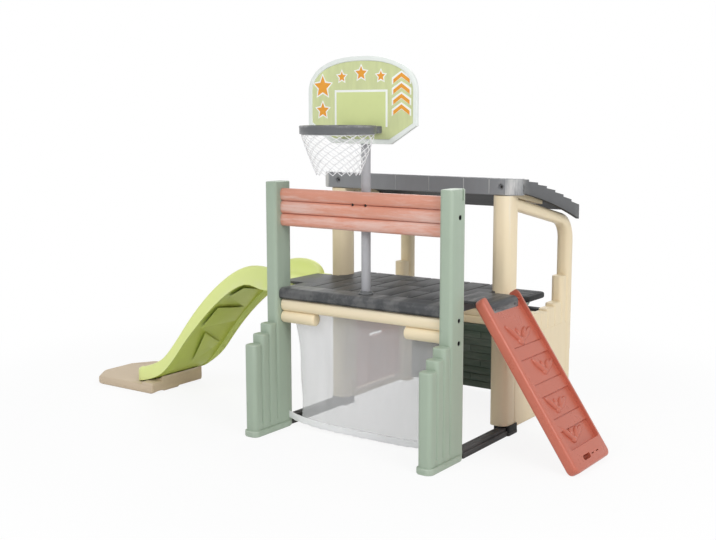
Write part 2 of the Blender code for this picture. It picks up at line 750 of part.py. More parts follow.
def counter(frame, top_finish, bracket_finish):
    """The counter behind the house, on two brackets that stand on the rear wall."""
    front = REAR_WALL_INNER
    rear = REAR_WALL_OUTER + COUNTER_REACH
    outline = rounded_rectangle((-COUNTER_HALF_WIDTH, COUNTER_HALF_WIDTH), (front, rear), COUNTER_CORNER)
    bottom = COUNTER_TOP - COUNTER_THICKNESS
    top = add_piece("counter_top", prism(outline, "Z", bottom, COUNTER_TOP), top_finish, frame)
    add_bevel(top, WALL_EDGE / 2)
    for label, side in (("left", LEFT), ("right", RIGHT)):
        x = side * COUNTER_BRACKET_SPREAD
        wall_face = REAR_WALL_OUTER + FIT
        cap_face = (REAR_WALL_INNER + REAR_WALL_OUTER + REAR_CAP_DEPTH) / 2 + FIT
        high = bottom - FIT
        outline = [
            (wall_face, high - COUNTER_BRACKET_DROP), (wall_face, REAR_BEAM_TOP - WALL_EDGE),
            (cap_face, REAR_BEAM_TOP - WALL_EDGE), (cap_face, high),
            (rear - WALL_EDGE * 2, high), (rear - WALL_EDGE * 2, high - WALL_EDGE * 2),
        ]
        half = COUNTER_BRACKET_WIDTH / 2
        bracket = prism(outline, "X", x - half, x + half)
        add_piece(f"counter_bracket_{label}", bracket, bracket_finish, frame)


# Roof

def roof_line(y):
    """The height of the smooth line under the roof courses at y."""
    share = (y - ROOF_FRONT) / (ROOF_REAR - ROOF_FRONT)
    straight = ROOF_FRONT_TOP + (ROOF_REAR_TOP - ROOF_FRONT_TOP) * share
    return straight + ROOF_SAG * 4 * share * (1 - share)


def roof_seats():
    """The underside of the roof sheet, front to rear, as y and z."""
    stops = [HOUSE_FRONT + (ROOF_REAR - HOUSE_FRONT) * step / ROOF_STOPS for step in range(ROOF_STOPS + 1)]
    return [(y, roof_line(y) - ROOF_SHEET) for y in stops]


def roof_steps():
    """The stepped upper line of the roof, front to rear, as y and z."""
    length = (ROOF_REAR - ROOF_FRONT) / ROOF_COURSES
    points = []
    for index in range(ROOF_COURSES):
        start = ROOF_FRONT + index * length
        end = start + length
        points += [(start, roof_line(start)), (end, roof_line(end) + ROOF_COURSE_STEP)]
    return points


def roof(frame, finish):
    """The roof sheet with its courses, the fascia and the two side boards."""
    upper = [(y, z) for y, z in roof_steps() if y > HOUSE_FRONT]
    upper.insert(0, (HOUSE_FRONT, roof_line(HOUSE_FRONT)))
    lower = list(reversed(roof_seats()))
    half = ROOF_HALF_WIDTH - ROOF_SIDE_WIDTH - FIT
    sheet = prism(upper + lower, "X", -half, half)
    add_piece("roof_sheet", sheet, finish, frame, 25)
    for label, side in (("left", LEFT), ("right", RIGHT)):
        drop = ROOF_SHEET + ROOF_REAR_DROP
        under = [(y, roof_line(y) - drop) for y, z in lower]
        board = prism(upper + under, "X", half + FIT, ROOF_HALF_WIDTH)
        add_piece(f"roof_side_{label}", mirrored(board, side), finish, frame, 25)
    fascia_bottom = ROOF_FRONT_TOP - FASCIA_HEIGHT
    outline = rounded_rectangle(
        (-ROOF_HALF_WIDTH, ROOF_HALF_WIDTH), (fascia_bottom, ROOF_FRONT_TOP), WALL_EDGE,
    )
    fascia = prism(outline, "Y", ROOF_FRONT, ROOF_FRONT + FASCIA_DEPTH)
    piece = add_piece("roof_fascia", fascia, finish, frame)
    z = (fascia_bottom + ROOF_FRONT_TOP) / 2
    for label, side in (("left", LEFT), ("right", RIGHT)):
        x = side * FASCIA_HOLE_X
        start = (x, ROOF_FRONT - FASCIA_DEPTH, z)
        end = (x, ROOF_FRONT + FASCIA_DEPTH / 2, z)
        cut(piece, cylinder(FASCIA_HOLE_RADIUS, start, end, 16), f"hole_{label}")
    return piece


def roof_screws(frame, finish):
    """The two screws in the holes of the fascia."""
    z = ROOF_FRONT_TOP - FASCIA_HEIGHT / 2
    seat = ROOF_FRONT + FASCIA_DEPTH / 2 - FIT
    for label, side in (("left", LEFT), ("right", RIGHT)):
        x = side * FASCIA_HOLE_X
        head = cylinder(SCREW_RADIUS, (x, seat, z), (x, seat - SCREW_HEAD, z), 12)
        add_piece(f"roof_screw_{label}", head, finish, frame)


# Slide

def slide_rim(count):
    """The upper edge of the slide as x distance and z, evenly stepped."""
    stops = [
        (Vector((SLIDE_START, SLIDE_TOP)), 0.0),
        (Vector((SLIDE_START + SLIDE_CREST_REACH, SLIDE_TOP)), 0.0),
        (Vector((SLIDE_START + SLIDE_KNEE_REACH, SLIDE_TOP - SLIDE_KNEE_DROP)), SLIDE_KNEE_SLOPE),
        (Vector((SLIDE_START + SLIDE_FOOT_REACH, SLIDE_LIP_HEIGHT + SLIDE_RUN_OUT)), SLIDE_FOOT_SLOPE),
        (Vector((SLIDE_START + SLIDE_LIP_REACH, SLIDE_LIP_HEIGHT)), SLIDE_LIP_SLOPE),
    ]
    dense = []
    for (first, first_slope), (last, last_slope) in zip(stops, stops[1:]):
        pull = (last.x - first.x) * SLIDE_CURVE_PULL
        out_pull = Vector((pull, -pull * first_slope))
        in_pull = Vector((pull, -pull * last_slope))
        for step in range(SLIDE_CURVE_STEPS):
            dense.append(hermite(first, last, out_pull, in_pull, step / SLIDE_CURVE_STEPS))
    dense.append(stops[-1][0])
    lengths = [0.0]
    for first, last in zip(dense, dense[1:]):
        lengths.append(lengths[-1] + (last - first).length)
    points = []
    for index in range(count):
        wanted = lengths[-1] * index / (count - 1)
        place = max(i for i, length in enumerate(lengths) if length <= wanted + 1e-9)
        place = min(place, len(dense) - 2)
        share = (wanted - lengths[place]) / (lengths[place + 1] - lengths[place])
        points.append(dense[place].lerp(dense[place + 1], share))
    return points


def hermite(first, last, out_pull, in_pull, t):
    """A point on the curve between two points with a pull at each end."""
    return (
        first * (2 * t ** 3 - 3 * t ** 2 + 1) + out_pull * (t ** 3 - 2 * t ** 2 + t)
        + last * (3 * t ** 2 - 2 * t ** 3) + in_pull * (t ** 3 - t ** 2)
    )


def slide_levels(rim_z):
    """The z of the floor, its underside and the skirt edge where the rim is at rim_z."""
    seat = SLIDE_BASE_HEIGHT + FIT
    bottom = max(rim_z - SLIDE_RIM_HEIGHT - SLIDE_SKIRT, seat)
    under = max(rim_z - SLIDE_RIM_HEIGHT - SLIDE_FLOOR, seat + SLIDE_SKIRT_LEAST)
    return under + SLIDE_FLOOR, under, bottom


def slide_under(x):
    """The z of the underside of the slide floor at a distance x."""
    points = slide_rim(SLIDE_STATIONS)
    for first, last in zip(points, points[1:]):
        if first.x <= x <= last.x:
            share = (x - first.x) / (last.x - first.x)
            high = slide_levels(first.y)[1]
            return high + (slide_levels(last.y)[1] - high) * share
    return SLIDE_BASE_HEIGHT


def slide(frame, finish):
    """The chute: a floor between two side walls that also reach below it."""
    edge = SLIDE_WALL / 4
    front = BAY_FRONT
    front_inner = front + SLIDE_WALL
    rear = BAY_REAR
    rear_inner = rear - SLIDE_WALL
    stations = []
    for point in slide_rim(SLIDE_STATIONS):
        floor, under, bottom = slide_levels(point.y)
        top = point.y
        section = [
            (front, top - edge), (front + edge, top), (front_inner - edge, top),
            (front_inner, top - edge), (front_inner, floor), (rear_inner, floor),
            (rear_inner, top - edge), (rear_inner + edge, top), (rear - edge, top),
            (rear, top - edge), (rear, bottom), (rear_inner, bottom), (rear_inner, under),
            (front_inner, under), (front_inner, bottom), (front, bottom),
        ]
        stations.append([(-point.x, y, z) for y, z in section])
    return add_piece("slide_chute", ring_sweep(stations), finish, frame)


def slide_base(frame, finish):
    """The low foot plate of the slide, with a cradle under the chute."""
    middle = BAY_CENTRE
    y_range = (middle - SLIDE_BASE_WIDTH / 2, middle + SLIDE_BASE_WIDTH / 2)
    outline = rounded_rectangle((-SLIDE_BASE_LEFT, -SLIDE_BASE_RIGHT), y_range, SLIDE_BASE_CORNER, 5)
    plate = prism(outline, "Z", 0, SLIDE_BASE_HEIGHT)
    piece = add_piece("slide_base", plate, finish, frame)
    add_bevel(piece, SLIDE_BASE_HEIGHT / 2, 3)
    inner = SLIDE_WALL + FIT
    far = SLIDE_BASE_RIGHT + CRADLE_LENGTH
    between = [point.x for point in slide_rim(SLIDE_STATIONS) if SLIDE_BASE_RIGHT < point.x < far]
    outline = [(-far, 0), (-SLIDE_BASE_RIGHT, 0)]
    for x in [SLIDE_BASE_RIGHT] + between + [far]:
        outline.append((-x, slide_under(x) - FIT * 2))
    join(piece, prism(outline, "Y", BAY_FRONT + inner, BAY_REAR - inner), "cradle")
    return piece


# Climbing ramp

def ramp_place():
    """The matrix from the ramp's own frame, x down the slope and z out of it."""
    start = Vector((RAMP_TOP_X, 0, DECK_TOP))
    end = Vector((RAMP_FOOT, 0, 0))
    down = (end - start).normalized()
    across = Vector((0, 1, 0))
    out = down.cross(across)
    turn = Matrix((down, across, out)).transposed().to_4x4()
    return Matrix.Translation(start) @ turn, (end - start).length


def ramp_floor_x(z):
    """The x of the ramp's tray floor at height z."""
    place = ramp_place()[0]
    down = place.to_3x3() @ Vector((1, 0, 0))
    above = place @ Vector((0, 0, RAMP_DEPTH - RAMP_TRAY_DEPTH))
    return above.x + down.x * (z - above.z) / down.z


def ramp(frame, finish):
    """The terracotta climbing tray, with side rails, ribs, holds and a slot."""
    place, length = ramp_place()
    outline = rounded_rectangle((0, length + RAMP_FOOT_TRIM), (BAY_FRONT, RAMP_REAR), RAMP_CORNER)
    solid = prism(outline, "Z", 0, RAMP_DEPTH)
    bmesh.ops.transform(solid, matrix=place, verts=solid.verts)
    piece = add_piece("climbing_ramp", solid, finish, frame)
    add_bevel(piece, WALL_EDGE)
    floor = RAMP_DEPTH - RAMP_TRAY_DEPTH
    tray = prism(
        rounded_rectangle(
            (-RAMP_DEPTH, length - RAMP_FOOT_PAD), (BAY_FRONT + RAMP_RAIL, RAMP_REAR - RAMP_FAR_RAIL),
            RAMP_CORNER / 2,
        ),
        "Z", floor, RAMP_DEPTH * 2,
    )
    bmesh.ops.transform(tray, matrix=place, verts=tray.verts)
    cut(piece, tray, "tray")
    top = DECK_TOP - HOOK_THICKNESS - FIT
    head = box(
        (0, ramp_floor_x(top) + RAMP_DEPTH), (BAY_FRONT + RAMP_RAIL, RAMP_REAR - RAMP_FAR_RAIL),
        (top, DECK_TOP * 2),
    )
    cut(piece, head, "head")
    step = (length - RAMP_FOOT_PAD) / (RAMP_RIBS + 1)
    for index in range(1, RAMP_RIBS + 1):
        x = index * step
        rib = box(
            (x - RAMP_RIB_HEIGHT, x + RAMP_RIB_HEIGHT),
            (BAY_FRONT + RAMP_RAIL / 2, RAMP_REAR - RAMP_FAR_RAIL / 2),
            (floor / 2, floor + RAMP_RIB_HEIGHT),
        )
        bmesh.ops.transform(rib, matrix=place, verts=rib.verts)
        join(piece, rib, f"rib_{index}")
    for index in range(HOLD_COUNT):
        x = length * (index + 1) / (HOLD_COUNT + 1)
        y = (BAY_FRONT + RAMP_REAR) / 2 + HOLD_OFFSET * (-1 if index % 2 == 0 else 1)
        hold = bmesh.new()
        bmesh.ops.create_cone(
            hold, cap_ends=True, segments=10, radius1=HOLD_RADIUS,
            radius2=HOLD_RADIUS / 2, depth=HOLD_HEIGHT + floor / 2,
        )
        middle = floor / 2 + (HOLD_HEIGHT + floor / 2) / 2
        seat = place @ Matrix.Translation((x, y, middle))
        bmesh.ops.transform(hold, matrix=seat, verts=hold.verts)
        join(piece, hold, f"hold_{index + 1}")
    slot_x = length - RAMP_SLOT_RISE
    slot_y = BAY_FRONT + RAMP_SLOT_INSET
    slot = prism(
        rounded_rectangle(
            (slot_x - RAMP_SLOT_WIDTH / 2, slot_x + RAMP_SLOT_WIDTH / 2),
            (slot_y - RAMP_SLOT_LENGTH / 2, slot_y + RAMP_SLOT_LENGTH / 2),
            RAMP_SLOT_WIDTH / 2 - FIT,
        ),
        "Z", -RAMP_DEPTH, RAMP_DEPTH,
    )
    bmesh.ops.transform(slot, matrix=place, verts=slot.verts)
    cut(piece, slot, "slot")
    floor_cut = box((0, RAMP_FOOT * 2), (-BAY_WIDTH, BAY_WIDTH * 2), (-RAMP_DEPTH * 3, 0))
    cut(piece, floor_cut, "foot")
    return piece


# Basketball hoop

def pole(frame, finish, foot_finish):
    """The two tubes of the pole and the foot flange on the deck."""
    wall = POLE_WALL
    foot_top = DECK_TOP + FIT + POLE_FOOT_HEIGHT
    foot = add_piece(
        "pole_foot",
        cylinder(POLE_FOOT_RADIUS, (0, POLE_Y, DECK_TOP + FIT), (0, POLE_Y, foot_top)),
        foot_finish, frame,
    )
    hole = cylinder(POLE_RADIUS + FIT, (0, POLE_Y, DECK_TOP + FIT * 10), (0, POLE_Y, foot_top * 2))
    cut(foot, hole, "seat")
    seat = DECK_TOP + FIT * 11
    lower = add_piece(
        "pole_lower", cylinder(POLE_RADIUS, (0, POLE_Y, seat), (0, POLE_Y, POLE_JOINT)),
        finish, frame,
    )
    bore = cylinder(
        POLE_RADIUS - wall, (0, POLE_Y, POLE_JOINT - POLE_INSERT), (0, POLE_Y, POLE_JOINT * 2),
    )
    cut(lower, bore, "bore")
    upper = add_piece(
        "pole_upper",
        cylinder(POLE_RADIUS, (0, POLE_Y, POLE_JOINT + FIT), (0, POLE_Y, POLE_TOP)), finish, frame,
    )
    spigot = cylinder(
        POLE_RADIUS - wall - FIT, (0, POLE_Y, POLE_JOINT - POLE_INSERT + FIT),
        (0, POLE_Y, POLE_JOINT + POLE_INSERT),
    )
    join(upper, spigot, "spigot")


def pole_clamp(frame, finish):
    """The clamp behind the top rail that holds the pole."""
    z = RAIL_SCREW_Z
    front = -TOP_RAIL_FRONT + TOP_RAIL_DEPTH + FIT
    rear = POLE_Y + POLE_RADIUS + CLAMP_WALL
    outline = rounded_rectangle((-CLAMP_WIDTH / 2, CLAMP_WIDTH / 2), (front, rear), CLAMP_WALL / 2)
    solid = prism(outline, "Z", z - CLAMP_HEIGHT / 2, z + CLAMP_HEIGHT / 2)
    piece = add_piece("pole_clamp", solid, finish, frame)
    bore = cylinder(POLE_RADIUS + FIT, (0, POLE_Y, z - CLAMP_HEIGHT), (0, POLE_Y, z + CLAMP_HEIGHT))
    cut(piece, bore, "bore")
    return piece


def board_outline(inset):
    """The outline of the backboard as x and z, drawn in by an inset."""
    half = BOARD_WIDTH / 2 - inset
    flat = BOARD_FLAT_WIDTH / 2 - inset / 2
    rise = BOARD_TOP - inset - BOARD_SPRING
    outline = [(-flat, BOARD_BOTTOM + inset), (flat, BOARD_BOTTOM + inset)]
    outline.append((half, BOARD_CHAMFER_TOP + inset / 2))
    for step in range(17):
        angle = math.pi * step / 16
        across = math.copysign(abs(math.cos(angle)) ** BOARD_ARCH_POWER, math.cos(angle))
        outline.append((half * across, BOARD_SPRING + rise * math.sin(angle) ** BOARD_CROWN_POWER))
    outline.append((-half, BOARD_CHAMFER_TOP + inset / 2))
    return outline


def backboard(frame, finish):
    """The backboard with its raised border."""
    board = prism(board_outline(0), "Y", BOARD_Y, BOARD_BACK_Y)
    piece = add_piece("backboard", board, finish, frame)
    field = prism(board_outline(BOARD_BORDER), "Y", BOARD_Y - FIT * 10, BOARD_Y + BOARD_BORDER_RAISE)
    cut(piece, field, "field")
    return piece


def board_strap(frame, finish):
    """The strap that holds the backboard to the pole."""
    z = (BOARD_SPRING + RIM_Z) / 2
    half = BOARD_BRACKET_WIDTH / 2
    rear = POLE_Y + POLE_RADIUS + CLAMP_WALL
    outline = rounded_rectangle((-half, half), (BOARD_BACK_Y + FIT, rear), CLAMP_WALL / 2)
    piece = add_piece("board_strap", prism(outline, "Z", z, z + CLAMP_HEIGHT), finish, frame)
    bore = cylinder(POLE_RADIUS + FIT, (0, POLE_Y, z - CLAMP_HEIGHT), (0, POLE_Y, z + CLAMP_HEIGHT * 2))
    cut(piece, bore, "bore")
    return piece


def hoop(frame, finish):
    """The hoop ring and the plate that fixes it to the backboard."""
    field_y = BOARD_Y + BOARD_BORDER_RAISE - FIT
    centre_y = field_y - RIM_REACH
    low = RIM_Z - RIM_BAND / 2
    high = RIM_Z + RIM_BAND / 2
    piece = add_piece(
        "hoop_ring", cylinder(RIM_RADIUS, (0, centre_y, low), (0, centre_y, high), 32), finish, frame,
    )
    half = RIM_PLATE_WIDTH / 2
    plate = [
        (-half, field_y), (half, field_y), (half, field_y - RIM_WALL),
        (RIM_RADIUS / 2, centre_y + RIM_RADIUS / 2), (-RIM_RADIUS / 2, centre_y + RIM_RADIUS / 2),
        (-half, field_y - RIM_WALL),
    ]
    join(piece, prism(plate, "Z", low, high), "plate")
    bore = cylinder(RIM_RADIUS - RIM_WALL, (0, centre_y, 0), (0, centre_y, high * 2), 32)
    cut(piece, bore, "bore")
    return piece


def hoop_net(frame, finish):
    """The hoop net: crossing cords on a tapered sleeve, as one closed lattice."""
    centre_y = BOARD_Y + BOARD_BORDER_RAISE - FIT - RIM_REACH
    top = RIM_Z - RIM_BAND / 2 - FIT - NET_CORD / 4
    lattice = bmesh.new()
    rows = NET_ROWS * 2
    around = NET_MESHES_ROUND * 2
    grid = {}
    for row in range(rows + 1):
        share = row / rows
        radius = NET_TOP_RADIUS + (NET_BOTTOM_RADIUS - NET_TOP_RADIUS) * share ** NET_TAPER
        for column in range(around):
            if (row + column) % 2:
                continue
            angle = 2 * math.pi * column / around
            place = (radius * math.cos(angle), centre_y + radius * math.sin(angle))
            grid[row, column] = lattice.verts.new((*place, top - NET_DROP * share))
    for row in range(0, rows + 1):
        for column in range(around):
            if (row + column) % 2 == 0:
                continue
            corners = [
                grid.get((row - 1, column)), grid.get((row, (column + 1) % around)),
                grid.get((row + 1, column)), grid.get((row, (column - 1) % around)),
            ]
            corners = [corner for corner in corners if corner]
            if len(corners) >= 3:
                lattice.faces.new(corners)
    bmesh.ops.recalc_face_normals(lattice, faces=lattice.faces)
    faces = list(lattice.faces)
    bmesh.ops.inset_individual(lattice, faces=faces, thickness=NET_CORD / 2)
    bmesh.ops.delete(lattice, geom=faces, context="FACES_ONLY")
    piece = add_piece("hoop_net", lattice, finish, frame)
    solidify = piece.modifiers.new("Cord", "SOLIDIFY")
    solidify.thickness = NET_CORD
    solidify.offset = 0
    return piece


# Goal net

def hem_low(u):
    """The height of the hem's lower edge at a share u of its half length."""
    return HEM_LOW + HEM_END_RISE * u ** 4


def net_sheet(frame, finish):
    """The goal net as a thin sheet with its main folds, hung behind the crossbar."""
    across = NET_FOLDS * 6
    down = 6
    top = CROSSBAR_TOP - CROSSBAR_LOG + NET_SHEET_LAP
    sheet = bmesh.new()
    rows = []
    for row in range(down + 1):
        fall = row / down
        draw = math.sin(fall * math.pi / 2)
        half = NET_SHEET_TOP_HALF + (NET_SHEET_LOW_HALF - NET_SHEET_TOP_HALF) * draw
        points = []
        for column in range(across + 1):
            u = 2 * column / across - 1
            wave = (1 - math.cos(math.pi * NET_FOLDS * (u + 1))) / 2
            y = NET_Y + NET_FOLD_DEPTH * wave * math.sin(math.pi * fall)
            bottom = hem_low(half * u / (PANEL_INNER - FIT)) + HEM_HEIGHT + FIT
            points.append(sheet.verts.new((half * u, y, top + (bottom - top) * fall)))
        rows.append(points)
    for upper, lower in zip(rows, rows[1:]):
        for index in range(across):
            sheet.faces.new((upper[index], upper[index + 1], lower[index + 1], lower[index]))
    piece = add_piece("goal_net", sheet, finish, frame, 60)
    solidify = piece.modifiers.new("Cloth", "SOLIDIFY")
    solidify.thickness = NET_SHEET_THICKNESS
    solidify.offset = 0
    return piece


def net_hem(frame, finish):
    """The white band along the lower edge of the goal net."""
    steps = NET_FOLDS * 6
    sections = []
    front = NET_Y - HEM_THICKNESS / 2
    rear = NET_Y + HEM_THICKNESS / 2
    reach = PANEL_INNER - FIT
    for step in range(steps + 1):
        u = 2 * step / steps - 1
        low = hem_low(u)
        high = low + HEM_HEIGHT
        sections.append([
            (reach * u, front, low), (reach * u, rear, low),
            (reach * u, rear, high), (reach * u, front, high),
        ])
    return add_piece("net_hem", ring_sweep(sections), finish, frame)


def centre_on_floor(frame):
    """Move the frame so that the origin is below the middle of the whole toy."""
    bpy.context.view_layer.update()
    graph = bpy.context.evaluated_depsgraph_get()
    corners = []
    for piece in bpy.context.scene.objects:
        if piece.type != "MESH" or piece.hide_render:
            continue
        shape = piece.evaluated_get(graph)
        corners += [shape.matrix_world @ Vector(corner) for corner in shape.bound_box]
    for axis in (0, 1):
        values = [corner[axis] for corner in corners]
        frame.location[axis] -= (min(values) + max(values)) / 2
    bpy.context.view_layer.update()


def build():
    """Make every piece of the toy."""
    for thing in list(bpy.data.objects):
        bpy.data.objects.remove(thing)
    green = material("sage_green", (0.32, 0.42, 0.31), 0.45)
    terracotta = material("terracotta", (0.62, 0.20, 0.13), 0.42)
    cream = material("cream", (0.78, 0.68, 0.48), 0.45)
    grey = material("dark_grey", (0.08, 0.085, 0.085), 0.5)
    siding = material("dark_green", (0.06, 0.10, 0.07), 0.5)
    lime = material("lime_green", (0.55, 0.66, 0.16), 0.4)
    sand = material("sand", (0.58, 0.46, 0.33), 0.55)
    tube = material("light_grey_tube", (0.45, 0.46, 0.49), 0.35)
    board = material("board_print", (0.55, 0.70, 0.30), 0.4)
    white = material("white_net", (0.85, 0.85, 0.85), 0.8)
    steel = material("screw_steel", (0.10, 0.10, 0.10), 0.4, 0.8)

    frame = empty("tower_frame", (0, 0, 0))
    for side in (LEFT, RIGHT):
        side_panel(side, frame, green)
        panel_screws(side, frame, steel)
        base_rail(side, frame, grey)
    top_rail(frame, terracotta)
    rail_screws(frame, steel)
    crossbar(frame, cream)
    deck(frame, grey)
    house_wall(RIGHT, frame, cream)
    left_wall = house_wall(LEFT, frame, cream)
    hinge_y = OPENING_REAR - REAR_STEP_DEPTH - DOOR_GAP - DOOR_THICKNESS / 2
    hinge = empty("door_hinge", (-(WALL_INNER + WALL_OUTER) / 2, hinge_y, 0), frame)
    half_door(frame, terracotta, tube, hinge)
    hinge_lugs(left_wall, hinge)
    rear_wall(frame, siding, cream, grey)
    counter(frame, grey, green)
    roof(frame, grey)
    roof_screws(frame, steel)
    slide(frame, lime)
    slide_base(frame, sand)
    ramp(frame, terracotta)
    pole(frame, tube, grey)
    pole_clamp(frame, grey)
    backboard(frame, board)
    board_strap(frame, grey)
    hoop(frame, grey)
    hoop_net(frame, white)
    net_sheet(frame, white)
    net_hem(frame, white)
    centre_on_floor(frame)


build()
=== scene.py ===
"""Playhouse with slide: the finish and the soft shapes of its mouldings, tubes, nets and print.

Every piece is laid out in the frame of the tower: x runs along the goal, y runs from the goal
back to the house, and z = 0 is the floor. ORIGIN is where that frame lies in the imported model.
"""
import math

import bmesh
import bpy
from bpy.props import FloatProperty, FloatVectorProperty, PointerProperty
from mathutils import Matrix, Vector


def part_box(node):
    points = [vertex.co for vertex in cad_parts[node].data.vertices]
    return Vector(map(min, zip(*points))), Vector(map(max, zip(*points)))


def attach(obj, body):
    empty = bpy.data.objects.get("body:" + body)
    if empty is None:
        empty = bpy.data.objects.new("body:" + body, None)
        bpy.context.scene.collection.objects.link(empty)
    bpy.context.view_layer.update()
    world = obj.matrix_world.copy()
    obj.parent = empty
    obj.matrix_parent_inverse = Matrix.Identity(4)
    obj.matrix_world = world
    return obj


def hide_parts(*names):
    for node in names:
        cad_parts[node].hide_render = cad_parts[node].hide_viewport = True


bl_info = {
    "name": "Playhouse with Slide",
    "version": (1, 0, 0),
    "blender": (4, 5, 0),
    "location": "View3D > Sidebar > Playhouse",
    "description": "Finishes the playhouse: mouldings, roof, slide, ramp, hoop, nets and stage",
    "category": "Object",
}

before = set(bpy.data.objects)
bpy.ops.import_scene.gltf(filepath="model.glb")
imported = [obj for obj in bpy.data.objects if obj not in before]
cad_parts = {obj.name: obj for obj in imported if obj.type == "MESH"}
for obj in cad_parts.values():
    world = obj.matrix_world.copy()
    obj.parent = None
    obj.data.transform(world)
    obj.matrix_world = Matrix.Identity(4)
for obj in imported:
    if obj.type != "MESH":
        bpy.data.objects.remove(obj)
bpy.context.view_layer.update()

LEFT = -1
RIGHT = 1
SIDES = (("left", LEFT), ("right", RIGHT))
GAP = 0.0003

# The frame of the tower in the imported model
ORIGIN = Vector((
    (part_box("side_panel_left")[0].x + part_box("side_panel_right")[1].x) / 2,
    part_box("side_panel_right")[1].y,
    0,
))


def low(node):
    """The lowest corner of a CAD node in the frame of the tower."""
    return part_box(node)[0] - ORIGIN


def high(node):
    """The highest corner of a CAD node in the frame of the tower."""
    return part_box(node)[1] - ORIGIN


# Sizes of the tower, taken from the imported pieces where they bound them
PANEL_OUTER = 0.510
PANEL_INNER = 0.444
POST_DEPTH = 0.118
POST_TOP = high("side_panel_right").z
LOG_TOPS = (0.525, 0.483, 0.441)
LOG_PITCH = 0.055
PANEL_SCREWS = tuple(
    ((low(node).y + high(node).y) / 2, (low(node).z + high(node).z) / 2)
    for node in ("panel_screw_right_1", "panel_screw_right_2", "panel_screw_right_3"))
SLOT_PLACE = (-0.031, 1.146)
RAIL_FRONT = 0.083
RAIL_TOP = high("top_rail").z
RAIL_LOG = 0.0593
RAIL_SCREW_SPREAD = 0.035
CROSSBAR_TOP = high("goal_crossbar").z
CROSSBAR_LOG = 0.060
CROSSBAR_FRONT = 0.092
SHORT_LOG = 0.193
LOG_STEPS = 8
LOG_POWER = 0.8
WALL_INNER = 0.440
HOUSE_FRONT = 0.420
HOUSE_REAR = 1.115
DECK_TOP = 0.690
DECK_REAR = 0.565
NOSE_REAR = 0.012
PLANKS = 8
GROOVE = 0.006
HOOK = 0.014
RAMP_HOOK_X = high("deck").x
BAY_FRONT = 0.045
BAY_REAR = 0.425
RAMP_REAR = 0.397
SCREW_RECESS = 0.016
SLIDE_START = 0.516


# Sizes and colours that a user would change

def colour_setting(name, description, default):
    """A setting for one colour."""
    return FloatVectorProperty(
        name=name, description=description, subtype="COLOR", size=3, min=0, max=1, default=default)


class PlayhouseColours(bpy.types.PropertyGroup):
    """Colours of the mouldings, tubes and nets."""

    sage: colour_setting("Sage", "Side panels of the goal", (0.36, 0.44, 0.345))
    terracotta: colour_setting("Terracotta", "Top rail, ramp and half door", (0.65, 0.235, 0.15))
    cream: colour_setting("Cream", "House walls and crossbar", (0.86, 0.73, 0.50))
    slate: colour_setting("Slate", "Deck, roof, rails and counter", (0.085, 0.088, 0.092))
    # A green like the sage of the side panels, darkened with painted shade for the siding that stands in
    # shadow below the deck
    shaded_pine: colour_setting("Pine", "Siding of the rear wall", (0.055, 0.085, 0.06))
    lime: colour_setting("Lime", "Slide chute", (0.80, 0.88, 0.33))
    sand: colour_setting("Sand", "Foot plate of the slide", (0.62, 0.50, 0.36))
    tube: colour_setting("Tube", "Pole of the hoop", (0.385, 0.385, 0.405))
    net: colour_setting("Net", "Goal net, hem and hoop net", (0.86, 0.86, 0.87))


class PlayhouseSizes(bpy.types.PropertyGroup):
    """Sizes of the nets."""

    cord: FloatProperty(
        name="Cord", description="Radius of a cord of the hoop's net", unit="LENGTH",
        min=0.0005, max=0.003, precision=4, default=0.0015)
    cloth: FloatProperty(
        name="Cloth", description="Thickness of the goal sheet", unit="LENGTH",
        min=0.0003, max=0.003, precision=4, default=0.0009)
    pitch: FloatProperty(
        name="Pitch", description="Distance between two threads of the goal sheet", unit="LENGTH",
        min=0.001, max=0.01, precision=4, default=0.0024)


def colours():
    """The colour settings."""
    return bpy.context.scene.playhouse_colours


def sizes():
    """The size settings."""
    return bpy.context.scene.playhouse_sizes


# Shared shader effects

def new_group(name, inputs, outputs):
    """Return an empty shader group with named float, colour or vector sockets."""
    group = bpy.data.node_groups.new(name, "ShaderNodeTree")
    for label, kind, value in inputs:
        socket = group.interface.new_socket(label, in_out="INPUT", socket_type=kind)
        socket.default_value = value
    for label, kind in outputs:
        group.interface.new_socket(label, in_out="OUTPUT", socket_type=kind)
    entry = group.nodes.new("NodeGroupInput")
    exit_node = group.nodes.new("NodeGroupOutput")
    return group, entry, exit_node


def math_node(tree, operation, first, second=None, third=None, clamp=False):
    """Add a Math node. An argument is a socket or a number. Return its output."""
    node = tree.nodes.new("ShaderNodeMath")
    node.operation = operation
    node.use_clamp = clamp
    for index, value in enumerate((first, second, third)):
        if value is None:
            continue
        if isinstance(value, (int, float)):
            node.inputs[index].default_value = value
        else:
            tree.links.new(value, node.inputs[index])
    return node.outputs[0]


def ramp_node(tree, value, low_value, high_value):
    """Map a value smoothly so that it is 0 at the low value and 1 at the high one."""
    node = tree.nodes.new("ShaderNodeMapRange")
    node.interpolation_type = "SMOOTHSTEP"
    node.inputs["From Min"].default_value = low_value
    node.inputs["From Max"].default_value = high_value
    tree.links.new(value, node.inputs["Value"])
    return node.outputs["Result"]


def mix_node(tree, factor, first, second, blend="MIX"):
    """Mix two colours. An argument is a socket, a number or a colour."""
    node = tree.nodes.new("ShaderNodeMix")
    node.data_type = "RGBA"
    node.blend_type = blend
    for socket, value in zip((node.inputs[0], node.inputs[6], node.inputs[7]), (factor, first, second)):
        if isinstance(value, (int, float)):
            socket.default_value = value
        elif isinstance(value, bpy.types.NodeSocket):
            tree.links.new(value, socket)
        else:
            socket.default_value = (*tuple(value)[:3], 1.0)
    return node.outputs[2]


def noise_node(tree, vector, scale, detail, roughness):
    """Add a Noise texture and return its value."""
    node = tree.nodes.new("ShaderNodeTexNoise")
    node.inputs["Detail"].default_value = detail
    node.inputs["Roughness"].default_value = roughness
    node.inputs["Scale"].default_value = scale
    tree.links.new(vector, node.inputs["Vector"])
    return node.outputs["Fac"]


